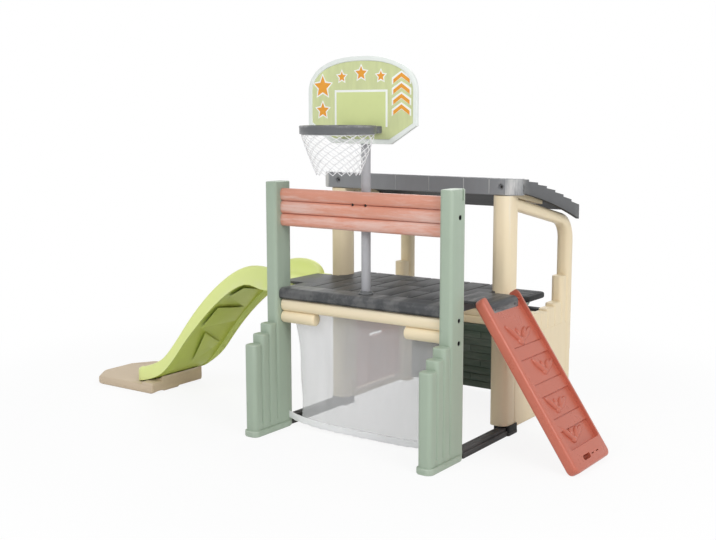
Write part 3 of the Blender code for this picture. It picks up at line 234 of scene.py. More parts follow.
# The noises of a moulding's skin: scale, detail and roughness
MOTTLE_NOISE = (4.0, 4.0, 0.6)
GRAIN_NOISE = (26.0, 5.0, 0.62)
FINE_NOISE = (700.0, 2.0, 0.55)
SCUFF_NOISE = (9.0, 6.0, 0.75)
# Where wear starts and is full: how pointed an edge is, how strong the scuffs are there
EDGE_BAND = (0.512, 0.60)
SCUFF_BAND = (0.42, 0.62)
WORN_COLOUR = (0.86, 0.85, 0.82)
# Where the painted shade of an underside starts and is full, by how far it faces down, and how deep it is
UNDER_BAND = (0.05, 0.65)
UNDER_DEPTH = 0.7
GRAIN_SHADE = 0.5
SCUFF_ROUGHNESS = 0.25
GRAIN_HEIGHT = 0.6
FINE_HEIGHT = 0.12
BUMP_STRENGTH = 0.7
PLASTIC_IOR = 1.46


def moulding_group():
    """The skin of a blow moulding: mottle, wood grain, fine texture, worn edges and scuffs, and painted shade
    on the faces that turn down, which also lose specular there.
    """
    name = "moulding_skin"
    if name in bpy.data.node_groups:
        return bpy.data.node_groups[name]
    group, entry, exit_node = new_group(
        name,
        [
            ("Colour", "NodeSocketColor", (0.5, 0.5, 0.5, 1)),
            ("Grain Axis", "NodeSocketVector", (1, 1, 1)),
            ("Grain", "NodeSocketFloat", 0.3),
            ("Mottle", "NodeSocketFloat", 0.06),
            ("Wear", "NodeSocketFloat", 0.25),
            ("Roughness", "NodeSocketFloat", 0.45),
            ("Under Shade", "NodeSocketFloat", 0.0),
            ("Gloss", "NodeSocketFloat", 0.5),
        ],
        [("Colour", "NodeSocketColor"), ("Roughness", "NodeSocketFloat"), ("Height", "NodeSocketFloat"),
         ("Specular", "NodeSocketFloat")],
    )
    place = group.nodes.new("ShaderNodeTexCoord").outputs["Object"]
    geometry = group.nodes.new("ShaderNodeNewGeometry")
    stretched = group.nodes.new("ShaderNodeVectorMath")
    stretched.operation = "MULTIPLY"
    group.links.new(place, stretched.inputs[0])
    group.links.new(entry.outputs["Grain Axis"], stretched.inputs[1])
    mottle = noise_node(group, place, *MOTTLE_NOISE)
    streaks = noise_node(group, stretched.outputs[0], *GRAIN_NOISE)
    fine = noise_node(group, place, *FINE_NOISE)
    scuff = noise_node(group, stretched.outputs[0], *SCUFF_NOISE)
    shade = math_node(group, "SUBTRACT", mottle, 0.5)
    shade = math_node(group, "MULTIPLY", shade, entry.outputs["Mottle"])
    grain = math_node(group, "SUBTRACT", streaks, 0.5)
    grain = math_node(group, "MULTIPLY", grain, entry.outputs["Grain"])
    shade = math_node(group, "MULTIPLY_ADD", grain, GRAIN_SHADE, shade)
    bright = math_node(group, "ADD", shade, 1.0)
    shaded = group.nodes.new("ShaderNodeVectorMath")
    shaded.operation = "SCALE"
    group.links.new(entry.outputs["Colour"], shaded.inputs[0])
    group.links.new(bright, shaded.inputs["Scale"])
    edge = ramp_node(group, geometry.outputs["Pointiness"], *EDGE_BAND)
    broken = math_node(group, "MULTIPLY", edge, ramp_node(group, scuff, *SCUFF_BAND))
    worn = math_node(group, "MULTIPLY", broken, entry.outputs["Wear"], clamp=True)
    rubbed = mix_node(group, worn, shaded.outputs[0], WORN_COLOUR)
    facing = group.nodes.new("ShaderNodeSeparateXYZ")
    group.links.new(geometry.outputs["Normal"], facing.inputs[0])
    # Painted shade: faces that turn down are darkened by the Under Shade share, and their specular is lowered
    # by the same share
    under = ramp_node(group, math_node(group, "MULTIPLY", facing.outputs["Z"], -1.0), *UNDER_BAND)
    under = math_node(group, "MULTIPLY", under, entry.outputs["Under Shade"], clamp=True)
    deep = mix_node(group, 1.0, shaded.outputs[0], shaded.outputs[0], "MULTIPLY")
    deep = mix_node(group, 1.0, deep, [UNDER_DEPTH] * 3, "MULTIPLY")
    group.links.new(mix_node(group, under, rubbed, deep), exit_node.inputs["Colour"])
    open_side = math_node(group, "SUBTRACT", 1.0, under)
    specular = math_node(group, "MULTIPLY", open_side, entry.outputs["Gloss"])
    group.links.new(specular, exit_node.inputs["Specular"])
    uneven = math_node(group, "SUBTRACT", scuff, 0.5)
    rough = math_node(group, "MULTIPLY_ADD", uneven, SCUFF_ROUGHNESS, entry.outputs["Roughness"])
    group.links.new(rough, exit_node.inputs["Roughness"])
    tall = math_node(group, "MULTIPLY", grain, GRAIN_HEIGHT)
    group.links.new(math_node(group, "MULTIPLY_ADD", fine, FINE_HEIGHT, tall), exit_node.inputs["Height"])
    return group


def new_material(name):
    """Return a new material, its node tree and its Principled shader."""
    material = bpy.data.materials.new(name)
    material.use_nodes = True
    tree = material.node_tree
    return material, tree, tree.nodes["Principled BSDF"]


def bump(tree, shader, height, distance):
    """Feed a height into the shader's normal."""
    node = tree.nodes.new("ShaderNodeBump")
    node.inputs["Strength"].default_value = BUMP_STRENGTH
    node.inputs["Distance"].default_value = distance
    tree.links.new(height, node.inputs["Height"])
    tree.links.new(node.outputs["Normal"], shader.inputs["Normal"])


# The axes of the wood grain, which is drawn out along the smallest number
EVERY_WAY = (1, 1, 1)
ALONG_X = (0.12, 1, 1)
ALONG_Y = (1, 0.12, 1)
UPRIGHT = (1, 1, 0.12)


def moulded_plastic(
        name, colour, axis=EVERY_WAY, grain=0.25, mottle=0.10, wear=0.35, roughness=0.42, relief=0.0016,
        under=0.0, gloss=0.5):
    """A moulded plastic with grain along an axis. Its undersides may be darkened with painted shade."""
    material, tree, shader = new_material(name)
    skin = tree.nodes.new("ShaderNodeGroup")
    skin.node_tree = moulding_group()
    values = {
        "Colour": (*colour, 1), "Grain Axis": axis, "Grain": grain, "Mottle": mottle, "Wear": wear,
        "Roughness": roughness, "Under Shade": under, "Gloss": gloss}
    for label, value in values.items():
        skin.inputs[label].default_value = value
    tree.links.new(skin.outputs["Specular"], shader.inputs["Specular IOR Level"])
    tree.links.new(skin.outputs["Colour"], shader.inputs["Base Color"])
    tree.links.new(skin.outputs["Roughness"], shader.inputs["Roughness"])
    bump(tree, shader, skin.outputs["Height"], relief)
    shader.inputs["IOR"].default_value = PLASTIC_IOR
    material.diffuse_color = (*colour, 1)
    return material


# The share of light that the goal sheet stops, and how far its threads and meshes differ from it
SHEET_COVER = 0.39
SHEET_WEAVE = 0.07
THREAD_BAND = (-0.2, 0.8)


def weave_group():
    """The threads of a fine net, as a mask that is 1 on a thread and 0 in a mesh."""
    name = "net_weave"
    if name in bpy.data.node_groups:
        return bpy.data.node_groups[name]
    group, entry, exit_node = new_group(
        name, [("Pitch", "NodeSocketFloat", 0.002)], [("Mask", "NodeSocketFloat")])
    place = group.nodes.new("ShaderNodeTexCoord").outputs["Object"]
    parts = group.nodes.new("ShaderNodeSeparateXYZ")
    group.links.new(place, parts.inputs[0])
    turns = math_node(group, "DIVIDE", math.tau, entry.outputs["Pitch"])
    waves = [
        math_node(group, "SINE", math_node(group, "MULTIPLY", parts.outputs[axis], turns))
        for axis in ("X", "Z")]
    thread = math_node(group, "MAXIMUM", *waves)
    group.links.new(ramp_node(group, thread, *THREAD_BAND), exit_node.inputs["Mask"])
    return group


def woven_sheet(name, colour):
    """A fine net that shows a share of what lies behind it. Each of its two faces has the same cover."""
    material = moulded_plastic(name, colour, grain=0.05, wear=0.0, roughness=0.8, relief=0.0002)
    tree = material.node_tree
    weave = tree.nodes.new("ShaderNodeGroup")
    weave.node_tree = weave_group()
    weave.inputs["Pitch"].default_value = sizes().pitch
    least = SHEET_COVER - SHEET_WEAVE
    alpha = math_node(tree, "MULTIPLY_ADD", weave.outputs["Mask"], 2 * SHEET_WEAVE, least)
    tree.links.new(alpha, tree.nodes["Principled BSDF"].inputs["Alpha"])
    return material


def scaled(colour, *shares):
    """A colour with its three parts scaled by three shares, or all by the one share given."""
    return [value * share for value, share in zip(colour, shares * (3 // len(shares)))]


def make_finishes():
    """Make the finishes."""
    tint = colours()
    moulded_plastic("finish_sage", tint.sage, UPRIGHT, grain=0.16)
    moulded_plastic(
        "finish_rail", scaled(tint.terracotta, 1.02, 1.23, 1.33), ALONG_X, grain=0.34, mottle=0.16)
    moulded_plastic(
        "finish_ramp", scaled(tint.terracotta, 0.83, 0.62, 0.62), grain=0.08, mottle=0.08, wear=0.06,
        roughness=0.30)
    moulded_plastic("finish_door", tint.terracotta, UPRIGHT, grain=0.20)
    moulded_plastic("finish_cream_upright", tint.cream, UPRIGHT, grain=0.16)
    moulded_plastic("finish_cream_log", tint.cream, ALONG_X, grain=0.24)
    # The deck, the roof and the slide get painted shade on their undersides through their under share
    moulded_plastic(
        "finish_deck", scaled(tint.slate, 0.85), ALONG_Y, grain=0.9, mottle=0.25, wear=0.30, under=0.6,
        gloss=0.2)
    moulded_plastic(
        "finish_roof", tint.slate, ALONG_X, grain=0.4, mottle=0.2, wear=0.25, roughness=0.48, under=0.86)
    moulded_plastic("finish_fascia", scaled(tint.slate, 2.9), UPRIGHT, grain=0.3, mottle=0.15, wear=0.6)
    moulded_plastic(
        "finish_rail_floor", scaled(tint.slate, 0.20), ALONG_Y, mottle=0.2, wear=0.20, roughness=0.5,
        gloss=0.15)
    moulded_plastic(
        "finish_counter", scaled(tint.slate, 0.45), ALONG_X, grain=0.3, mottle=0.2, wear=0.20, roughness=0.5,
        gloss=0.15)
    # The siding's green carries painted shade
    moulded_plastic("finish_siding", tint.shaded_pine, ALONG_X, grain=0.5, mottle=0.2, wear=0.20, roughness=0.55)
    moulded_plastic("finish_lime", tint.lime, grain=0.05, mottle=0.06, wear=0.20, roughness=0.36, under=0.85)
    moulded_plastic("finish_sand", tint.sand, ALONG_X, grain=0.30, wear=0.30, roughness=0.55)
    moulded_plastic(
        "finish_tube", tint.tube, UPRIGHT, grain=0.05, mottle=0.05, wear=0.30, roughness=0.34, relief=0.0004)
    moulded_plastic("finish_hoop", scaled(tint.slate, 1.5), grain=0.10, mottle=0.2, roughness=0.36)
    moulded_plastic("finish_screw", [0.015] * 3, grain=0.05, wear=0.6, roughness=0.35, relief=0.0003)
    moulded_plastic(
        "finish_board_edge", (0.76, 0.80, 0.76), grain=0.05, wear=0.1, roughness=0.35, relief=0.0004)
    prints = (
        ("finish_board_field", (0.60, 0.65, 0.34), (1, 1, 0.2), 0.8, 0.1),
        ("finish_print_white", (0.88, 0.90, 0.86), EVERY_WAY, 0.05, 0.05),
        ("finish_print_orange", (0.78, 0.33, 0.03), EVERY_WAY, 0.15, 0.1),
        ("finish_print_leaf", (0.64, 0.71, 0.32), EVERY_WAY, 0.10, 0.1),
    )
    for name, colour, axis, grain, mottle in prints:
        moulded_plastic(name, colour, axis, grain, mottle, wear=0.0, roughness=0.35, relief=0.0001)
    moulded_plastic("finish_cord", tint.net, grain=0.05, wear=0.0, roughness=0.8, relief=0.0004)
    woven_sheet("finish_sheet", scaled(tint.net, 0.80))
    moulded_plastic("finish_hem", tint.net, grain=0.05, wear=0.0, roughness=0.8, relief=0.0002)


# Tools for making pieces

PLANES = {
    "X": lambda u, v, w: Vector((w, u, v)),
    "Y": lambda u, v, w: Vector((u, w, v)),
    "Z": lambda u, v, w: Vector((u, v, w)),
}


def add(shape, part, turn=None):
    """Put a part into a shape, moved by a matrix where one is given."""
    if turn is not None:
        bmesh.ops.transform(part, matrix=turn, verts=part.verts)
    mesh = bpy.data.meshes.new("part")
    part.to_mesh(mesh)
    part.free()
    shape.from_mesh(mesh)
    bpy.data.meshes.remove(mesh)


def sharp_edges(part, least=50):
    """The edges whose faces meet at more than an angle in degrees."""
    limit = math.radians(least)
    return [edge for edge in part.edges if len(edge.link_faces) == 2 and edge.calc_face_angle(0) > limit]


def round_edges(part, edges, radius, steps=3):
    """Bevel edges to a radius."""
    if radius > 0 and edges:
        bmesh.ops.bevel(
            part, geom=edges, offset=radius, segments=steps, profile=0.5,
            affect="EDGES", clamp_overlap=True, material=-1)


def block(shape, first, last, rim=0.003, corner=0.0, axis=2, steps=3):
    """Add a box between two corners with round edges. Its corners along an axis may be rounder."""
    part = bmesh.new()
    bmesh.ops.create_cube(part, size=1)
    first, last = Vector(first), Vector(last)
    size = Vector([abs(b - a) for a, b in zip(first, last)])
    bmesh.ops.scale(part, vec=size, verts=part.verts)
    bmesh.ops.translate(part, vec=(first + last) / 2, verts=part.verts)
    if corner:
        along = [edge for edge in part.edges if abs((edge.verts[0].co - edge.verts[1].co)[axis]) > GAP]
        round_edges(part, along, corner, steps + 3)
    round_edges(part, sharp_edges(part), rim, steps)
    add(shape, part)


def slab(shape, outline, axis, near, far, rim=0.003, steps=3, corner=0.0):
    """Add an outline drawn out along an axis, with round rims, and round corners where asked."""
    part = bmesh.new()
    place = PLANES[axis]
    face = part.faces.new([part.verts.new(place(u, v, near)) for u, v in outline])
    grown = bmesh.ops.extrude_face_region(part, geom=[face])
    moved = [item for item in grown["geom"] if isinstance(item, bmesh.types.BMVert)]
    bmesh.ops.translate(part, verts=moved, vec=place(0, 0, far - near))
    bmesh.ops.recalc_face_normals(part, faces=part.faces)
    index = "XYZ".index(axis)
    if corner:
        along = [
            edge for edge in sharp_edges(part, 35)
            if abs((edge.verts[0].co - edge.verts[1].co)[index]) > GAP]
        round_edges(part, along, corner, steps + 1)
    rims = [
        edge for edge in sharp_edges(part, 60)
        if abs((edge.verts[0].co - edge.verts[1].co)[index]) < GAP]
    round_edges(part, rims, rim, steps)
    add(shape, part)


def rod(shape, start, end, radius, rim=0.003, segments=32, steps=3):
    """Add a round bar between two points, with round ends."""
    part = bmesh.new()
    start, end = Vector(start), Vector(end)
    bmesh.ops.create_cone(
        part, cap_ends=True, segments=segments, radius1=radius, radius2=radius, depth=(end - start).length)
    round_edges(part, sharp_edges(part), rim, steps)
    aim = Vector((0, 0, 1)).rotation_difference(end - start).to_matrix().to_4x4()
    bmesh.ops.transform(part, matrix=Matrix.Translation((start + end) / 2) @ aim, verts=part.verts)
    add(shape, part)


def loft(shape, sections, rim=0.0, steps=3, closed=False):
    """Add a skin that starts as the first section and is drawn out through the others."""
    part = bmesh.new()
    ring = [part.verts.new(point) for point in sections[0]]
    edges = [part.edges.new(pair) for pair in zip(ring, ring[1:] + ring[:1])]
    opening, opening_ring = list(edges), list(ring)
    for section in sections[1:]:
        grown = bmesh.ops.extrude_edge_only(part, edges=edges)
        fresh = {item for item in grown["geom"] if isinstance(item, bmesh.types.BMVert)}
        ring = [
            next(edge.other_vert(vert) for edge in vert.link_edges if edge.other_vert(vert) in fresh)
            for vert in ring]
        for vert, point in zip(ring, section):
            vert.co = point
        edges = [part.edges.get(pair) for pair in zip(ring, ring[1:] + ring[:1])]
    if closed:
        bmesh.ops.bridge_loops(part, edges=opening + edges)
    else:
        part.faces.new(opening_ring)
        part.faces.new(list(reversed(ring)))
    bmesh.ops.recalc_face_normals(part, faces=part.faces)
    if rim:
        ends = [edge for edge in part.edges if any(len(face.verts) > 4 for face in edge.link_faces)]
        round_edges(part, ends, rim, steps)
    add(shape, part)


def sweep(shape, path, section):
    """Add a section, as side and up distances, carried along a path of points."""
    points = [Vector(point) for point in path]
    sections = []
    for index, point in enumerate(points):
        before = points[max(index - 1, 0)]
        after = points[min(index + 1, len(points) - 1)]
        ahead = (after - before).normalized()
        side = ahead.cross(Vector((0, 0, 1))).normalized()
        over = side.cross(ahead)
        sections.append([point + side * u + over * v for u, v in section])
    loft(shape, sections)


def oval(width, height, power=1.0, segments=20):
    """The points of an oval. A power under 1 makes it squarer."""
    points = []
    for step in range(segments):
        angle = 2 * math.pi * step / segments
        u, v = math.cos(angle), math.sin(angle)
        points.append((
            width * math.copysign(abs(u) ** power, u), height * math.copysign(abs(v) ** power, v)))
    return points


def arc(u, v, radius, first, last, steps, stretch=1.0):
    """The points of an arc between two angles in degrees."""
    points = []
    for step in range(steps + 1):
        angle = math.radians(first + (last - first) * step / steps)
        points.append((u + radius * math.cos(angle), v + radius * stretch * math.sin(angle)))
    return points


def flipped(shape, side):
    """Mirror a shape to the left where the side is LEFT."""
    if side == LEFT:
        bmesh.ops.scale(shape, vec=(-1, 1, 1), verts=shape.verts)
        bmesh.ops.reverse_faces(shape, faces=shape.faces)


def carve(shape, tool):
    """Cut a tool's solids from a shape. The shape's own overlapping solids become one."""
    things = []
    for part in (shape, tool):
        mesh = bpy.data.meshes.new("carving")
        part.to_mesh(mesh)
        part.free()
        thing = bpy.data.objects.new("carving", mesh)
        bpy.context.scene.collection.objects.link(thing)
        things.append(thing)
    cut = things[0].modifiers.new("Cut", "BOOLEAN")
    cut.object = things[1]
    cut.operation = "DIFFERENCE"
    cut.solver = "EXACT"
    cut.use_self = True
    result = bmesh.new()
    graph = bpy.context.evaluated_depsgraph_get()
    result.from_mesh(things[0].evaluated_get(graph).to_mesh())
    for thing in things:
        mesh = thing.data
        bpy.data.objects.remove(thing)
        bpy.data.meshes.remove(mesh)
    bmesh.ops.remove_doubles(result, verts=result.verts, dist=GAP / 10)
    bmesh.ops.dissolve_degenerate(result, dist=GAP / 10, edges=result.edges)
    return result


def copy_node(node):
    """A merged copy of a CAD node's mesh in the frame of the tower."""
    shape = bmesh.new()
    shape.from_mesh(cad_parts[node].data)
    bmesh.ops.remove_doubles(shape, verts=shape.verts, dist=GAP / 10)
    bmesh.ops.translate(shape, vec=-ORIGIN, verts=shape.verts)
    flat = math.radians(1)
    bmesh.ops.dissolve_limit(shape, angle_limit=flat, verts=shape.verts, edges=shape.edges)
    return shape


def new_piece(name, shape, finish, nodes=(), body="structure", crease=40, bevel=0.0):
    """Make an object from a shape, at its place. It rides on a body and stands for CAD nodes."""
    bmesh.ops.translate(shape, vec=ORIGIN, verts=shape.verts)
    mesh = bpy.data.meshes.new(name)
    shape.to_mesh(mesh)
    shape.free()
    if finish not in bpy.data.materials:
        make_finishes()
    mesh.materials.append(bpy.data.materials[finish])
    mesh.shade_smooth()
    mesh.set_sharp_from_angle(angle=math.radians(crease))
    piece = bpy.data.objects.new(name, mesh)
    bpy.context.scene.collection.objects.link(piece)
    if bevel:
        edge = piece.modifiers.new("Edge", "BEVEL")
        edge.width = bevel
        edge.segments = 2
        edge.limit_method = "ANGLE"
        edge.angle_limit = math.radians(35)
    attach(piece, body)
    if nodes:
        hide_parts(*nodes)
    return piece


# Goal frame

# How far a cutting tool reaches beyond the face that it cuts
BEYOND = 0.02
LOG_LAP = 0.006
PANEL_FOOT_REAR = -0.010
PANEL_BAND_TOP = 0.056
PANEL_FLARE = 0.009
PANEL_FLARE_TOP = 0.030
PANEL_BORE = 0.0112
PANEL_MOUTH = 0.0135
PANEL_MOUTH_DEEP = 0.0012
SLOT_HALF = 0.0075
SLOT_TALL = 0.06
SLOT_DEEP = 0.005


class PLAYHOUSE_OT_side_panels(bpy.types.Operator):
    """Make the two posts with their stepped logs, flared feet, slots and screw recesses"""

    bl_idname = "playhouse.side_panels"
    bl_label = "Side panels"

    def execute(self, context):
        inner, outer = PANEL_INNER, PANEL_OUTER
        front = -POST_DEPTH - len(LOG_TOPS) * LOG_PITCH
        slot = [(SLOT_HALF, SLOT_TALL), (SLOT_HALF, 0.0)] + arc(0, 0, SLOT_HALF, 0, -180, 8)[1:]
        slot = [(SLOT_PLACE[0] + u, SLOT_PLACE[1] + v) for u, v in slot + [(-SLOT_HALF, SLOT_TALL)]]
        for label, side in SIDES:
            shape = bmesh.new()
            block(shape, (inner, -POST_DEPTH, 0), (outer, 0, POST_TOP), rim=0.005, corner=0.018)
            for index, top in enumerate(LOG_TOPS):
                rear = -POST_DEPTH - index * LOG_PITCH
                block(
                    shape, (inner, rear - LOG_PITCH, 0.002), (outer, rear + LOG_LAP, top),
                    rim=0.007, corner=0.020)
            block(
                shape, (inner + 0.002, front + 0.001, 0.001),
                (outer - 0.002, PANEL_FOOT_REAR, PANEL_BAND_TOP), rim=0.008, corner=0.024)
            block(
                shape, (inner - PANEL_FLARE, front - PANEL_FLARE, 0),
                (outer + PANEL_FLARE, PANEL_FOOT_REAR - 0.001, PANEL_FLARE_TOP), rim=0.006, corner=0.030)
            tool = bmesh.new()
            for y, z in PANEL_SCREWS:
                for deep, radius in ((SCREW_RECESS - GAP, PANEL_BORE), (PANEL_MOUTH_DEEP, PANEL_MOUTH)):
                    rod(tool, (outer - deep, y, z), (outer + BEYOND, y, z), radius, rim=0.0)
            slab(tool, slot, "X", outer - SLOT_DEEP, outer + BEYOND, rim=0.0)
            shape = carve(shape, tool)
            flipped(shape, side)
            new_piece(
                f"panel_moulding_{label}", shape, "finish_sage",
                (f"side_panel_{label}",), bevel=0.0012)
        return {"FINISHED"}


RAIL_LOGS = 3
RAIL_DEEP = 0.040
RAIL_BULGE = 0.019
RAIL_BACK_BULGE = 0.010
RAIL_BORE = 0.0078
CROSSBAR_BULGE = 0.024
SHORT_LOG_LAP = 0.002
SHORT_LOG_END = 0.006


def log_front(front, top, pitch, count, bulge):
    """The bulging front of stacked logs, from the top down, as y and z."""
    points = []
    for index in range(count):
        middle = top - pitch * (index + 0.5)
        for step in range(LOG_STEPS + 1):
            angle = math.radians(90 - 180 * step / LOG_STEPS)
            y = front + bulge * (1 - math.cos(angle) ** LOG_POWER)
            z = middle + pitch / 2 * math.sin(angle)
            if not points or math.dist(points[-1], (y, z)) > GAP:
                points.append((y, z))
    return points


class PLAYHOUSE_OT_rails(bpy.types.Operator):
    """Make the top rail of three logs and the crossbar with its short logs"""

    bl_idname = "playhouse.rails"
    bl_label = "Top rail and crossbar"

    def execute(self, context):
        half = PANEL_INNER - GAP
        shape = bmesh.new()
        outline = log_front(-RAIL_FRONT, RAIL_TOP, RAIL_LOG, RAIL_LOGS, RAIL_BULGE)
        back = log_front(0, 0, RAIL_LOG, RAIL_LOGS, RAIL_BACK_BULGE)
        bottom = RAIL_TOP - RAIL_LOGS * RAIL_LOG
        outline += [(-RAIL_FRONT + RAIL_DEEP - y, bottom - z) for y, z in back][1:-1]
        slab(shape, outline, "X", -half, half, rim=0.0)
        tool = bmesh.new()
        groove = RAIL_TOP - RAIL_LOG
        seat = -RAIL_FRONT + SCREW_RECESS - GAP
        for _, side in SIDES:
            x = side * RAIL_SCREW_SPREAD
            rod(tool, (x, -RAIL_FRONT - BEYOND, groove), (x, seat, groove), RAIL_BORE, rim=0.0)
        shape = carve(shape, tool)
        new_piece("top_rail_moulding", shape, "finish_rail", ("top_rail",))
        shape = bmesh.new()
        top, bottom = CROSSBAR_TOP, CROSSBAR_TOP - CROSSBAR_LOG
        back = -CROSSBAR_FRONT + CROSSBAR_LOG
        outline = log_front(-CROSSBAR_FRONT, top, CROSSBAR_LOG, 1, CROSSBAR_BULGE)
        outline += [(back, bottom), (back, top)]
        slab(shape, outline, "X", -half, half, rim=0.008, steps=4)
        radius = CROSSBAR_LOG / 2
        y = -CROSSBAR_FRONT + radius
        z = bottom - radius + SHORT_LOG_LAP
        for _, side in SIDES:
            end = side * (half - SHORT_LOG)
            rod(shape, (end, y, z), (side * half, y, z), radius, rim=SHORT_LOG_END, segments=40, steps=4)
            rod(
                shape, (end - side * 0.0015, y, z), (end + side * 0.01, y, z), radius - SHORT_LOG_END,
                rim=0.001, segments=40)
        new_piece("crossbar_moulding", shape, "finish_cream_log", ("goal_crossbar",))
        return {"FINISHED"}


FLOOR_RAIL_WIDE = 0.060
# Each step of a floor rail: how far in from its sides, its start, its end, bottom, top and rim
FLOOR_RAIL_STEPS = (
    (0.000, GAP, HOUSE_FRONT - 0.004, 0.00, 0.026, 0.004),
    (0.008, GAP * 2, HOUSE_FRONT - 0.002, 0.01, 0.040, 0.005),
    (0.018, 0.07, 0.14, 0.03, 0.0425, 0.0035),
    (0.018, 0.20, 0.27, 0.03, 0.0425, 0.0035),
    (0.018, 0.33, 0.40, 0.03, 0.0425, 0.0035),
)
# Each step of a post's socket: its wall, top, rim and corner
SOCKET_STEPS = ((0.0063, 0.048, 0.004, 0.010), (0.0083, 0.016, 0.003, 0.012))
SOCKET_DEEP = 0.080
SOCKET_WALL = 0.0063
SOCKET_FLOOR = 0.0063


class PLAYHOUSE_OT_floor_rails(bpy.types.Operator):
    """Make the two floor rails with their stepped profile and the sockets of the house posts"""

    bl_idname = "playhouse.floor_rails"
    bl_label = "Floor rails"

    def execute(self, context):
        for label, side in SIDES:
            shape = bmesh.new()
            for inset, first, last, low_z, high_z, rim in FLOOR_RAIL_STEPS:
                block(
                    shape, (PANEL_OUTER - FLOOR_RAIL_WIDE + inset, first, low_z),
                    (PANEL_OUTER - inset, last, high_z), rim=rim)
            socket = bmesh.new()
            rear = HOUSE_FRONT + SOCKET_DEEP + SOCKET_WALL
            for wall, top, rim, corner in SOCKET_STEPS:
                block(
                    socket, (WALL_INNER - wall, HOUSE_FRONT - wall, 0), (PANEL_OUTER + wall, rear, top),
                    rim=rim, corner=corner)
            tool = bmesh.new()
            block(
                tool, (WALL_INNER - GAP, HOUSE_FRONT - GAP, SOCKET_FLOOR),
                (PANEL_OUTER + GAP, HOUSE_FRONT + 0.12, 0.09), rim=0.0)
            add(shape, carve(socket, tool))
            flipped(shape, side)
            new_piece(
                f"floor_rail_{label}", shape, "finish_rail_floor", (f"base_rail_{label}",))
        return {"FINISHED"}


# Deck

DECK_FRONT = -0.100
DECK_DEEP = 0.052
PLANK_STAND = 0.0035
NOSE_RADIUS = 0.022
NOSE_UNDER_RADIUS = 0.013
# Where the planks of even and odd rows start and end
PLANK_CUTS = ((NOSE_REAR, 0.31, DECK_REAR), (NOSE_REAR, 0.20, 0.43, DECK_REAR))
NAIL_INSET = 0.020
NAIL_RADIUS = 0.0032
NAIL_STAND = 0.0008
BAY_MARGIN = 0.05
HOOK_RADIUS = 0.025
HOOK_DROP = 0.050
STUD_INSET = 0.035
STUD_DROP = 0.032
STUD_RADIUS = 0.0065
TONGUE_REACH = 0.060


class PLAYHOUSE_OT_deck(bpy.types.Operator):
    """Make the deck with its staggered planks, round nose, ramp hook and slide tongue"""

    bl_idname = "playhouse.deck"
    bl_label = "Deck"

    def planks(self, shape, narrow, top):
        """Add the staggered planks and their round nail heads."""
        width = 2 * narrow / PLANKS
        margin = GROOVE / 2
        for index in range(PLANKS):
            x = -narrow + index * width
            cuts = PLANK_CUTS[index % 2]
            for first, last in zip(cuts, cuts[1:]):
                block(
                    shape, (x + margin, first + margin, top - 0.004),
                    (x + width - margin, last - margin / 2, DECK_TOP), rim=0.0022, corner=0.004)
                for y in (first + NAIL_INSET, last - NAIL_INSET):
                    for across in (0.25, 0.75):
                        spot = x + width * across
                        rod(
                            shape, (spot, y, DECK_TOP - 0.002), (spot, y, DECK_TOP + NAIL_STAND), NAIL_RADIUS,
                            rim=NAIL_STAND, segments=10, steps=1)

    def execute(self, context):
        shape = bmesh.new()
        wide, narrow = PANEL_INNER - GAP, WALL_INNER - GAP
        top, bottom = DECK_TOP - PLANK_STAND, DECK_TOP - DECK_DEEP
        middle = DECK_FRONT + NOSE_RADIUS
        nose = [(middle, DECK_TOP)] + arc(middle, DECK_TOP - NOSE_RADIUS, NOSE_RADIUS, 90, 180, 6)[1:]
        nose += arc(
            DECK_FRONT + NOSE_UNDER_RADIUS, bottom + NOSE_UNDER_RADIUS, NOSE_UNDER_RADIUS, 180, 270, 4)
        nose += [(HOUSE_FRONT, bottom), (HOUSE_FRONT, top), (NOSE_REAR, top), (NOSE_REAR, DECK_TOP)]
        slab(shape, nose, "X", -wide, wide, rim=0.005)
        block(shape, (-narrow, HOUSE_FRONT - 0.001, bottom), (narrow, DECK_REAR, top), rim=0.003)
        self.planks(shape, narrow, top)
        for _, side in SIDES:
            block(
                shape, (side * narrow, GAP, top - 0.002), (side * wide, HOUSE_FRONT - 0.0005, DECK_TOP),
                rim=0.002)
        front, rear = BAY_FRONT + BAY_MARGIN, RAMP_REAR - BAY_MARGIN
        end, root = RAMP_HOOK_X, WALL_INNER - BAY_MARGIN
        middle = (end - HOOK_RADIUS, DECK_TOP - HOOK_RADIUS)
        outline = [(root, DECK_TOP)] + arc(*middle, HOOK_RADIUS, 90, 0, 6)
        outline += [(end, DECK_TOP - HOOK_DROP), (end - HOOK, DECK_TOP - HOOK_DROP)]
        outline += arc(*middle, HOOK_RADIUS - HOOK, 0, 90, 5) + [(root, DECK_TOP - HOOK)]
        slab(shape, outline, "Y", front, rear, rim=0.003)
        z = DECK_TOP - STUD_DROP
        for y in (front + STUD_INSET, rear - STUD_INSET):
            rod(shape, (end - 0.001, y, z), (end + 0.0018, y, z), STUD_RADIUS, rim=0.0012, segments=20)
        block(
            shape, (-SLIDE_START - TONGUE_REACH, front, DECK_TOP - HOOK),
            (-root, BAY_REAR - BAY_MARGIN, DECK_TOP + 0.0004), rim=0.003, corner=0.012)
        new_piece("deck_moulding", shape, "finish_deck", ("deck",))
        return {"FINISHED"}


# House

# The round front posts of the house: middle, half widths, top and the heights of the sections
POST_X = 0.462
POST_WIDE = 0.048
POST_Y = 0.445
POST_DEEP = 0.055
POST_SEAT = low("roof_fascia").z - 0.002
POST_STATIONS = (0.049, 0.300, 0.632, 0.900, POST_SEAT)

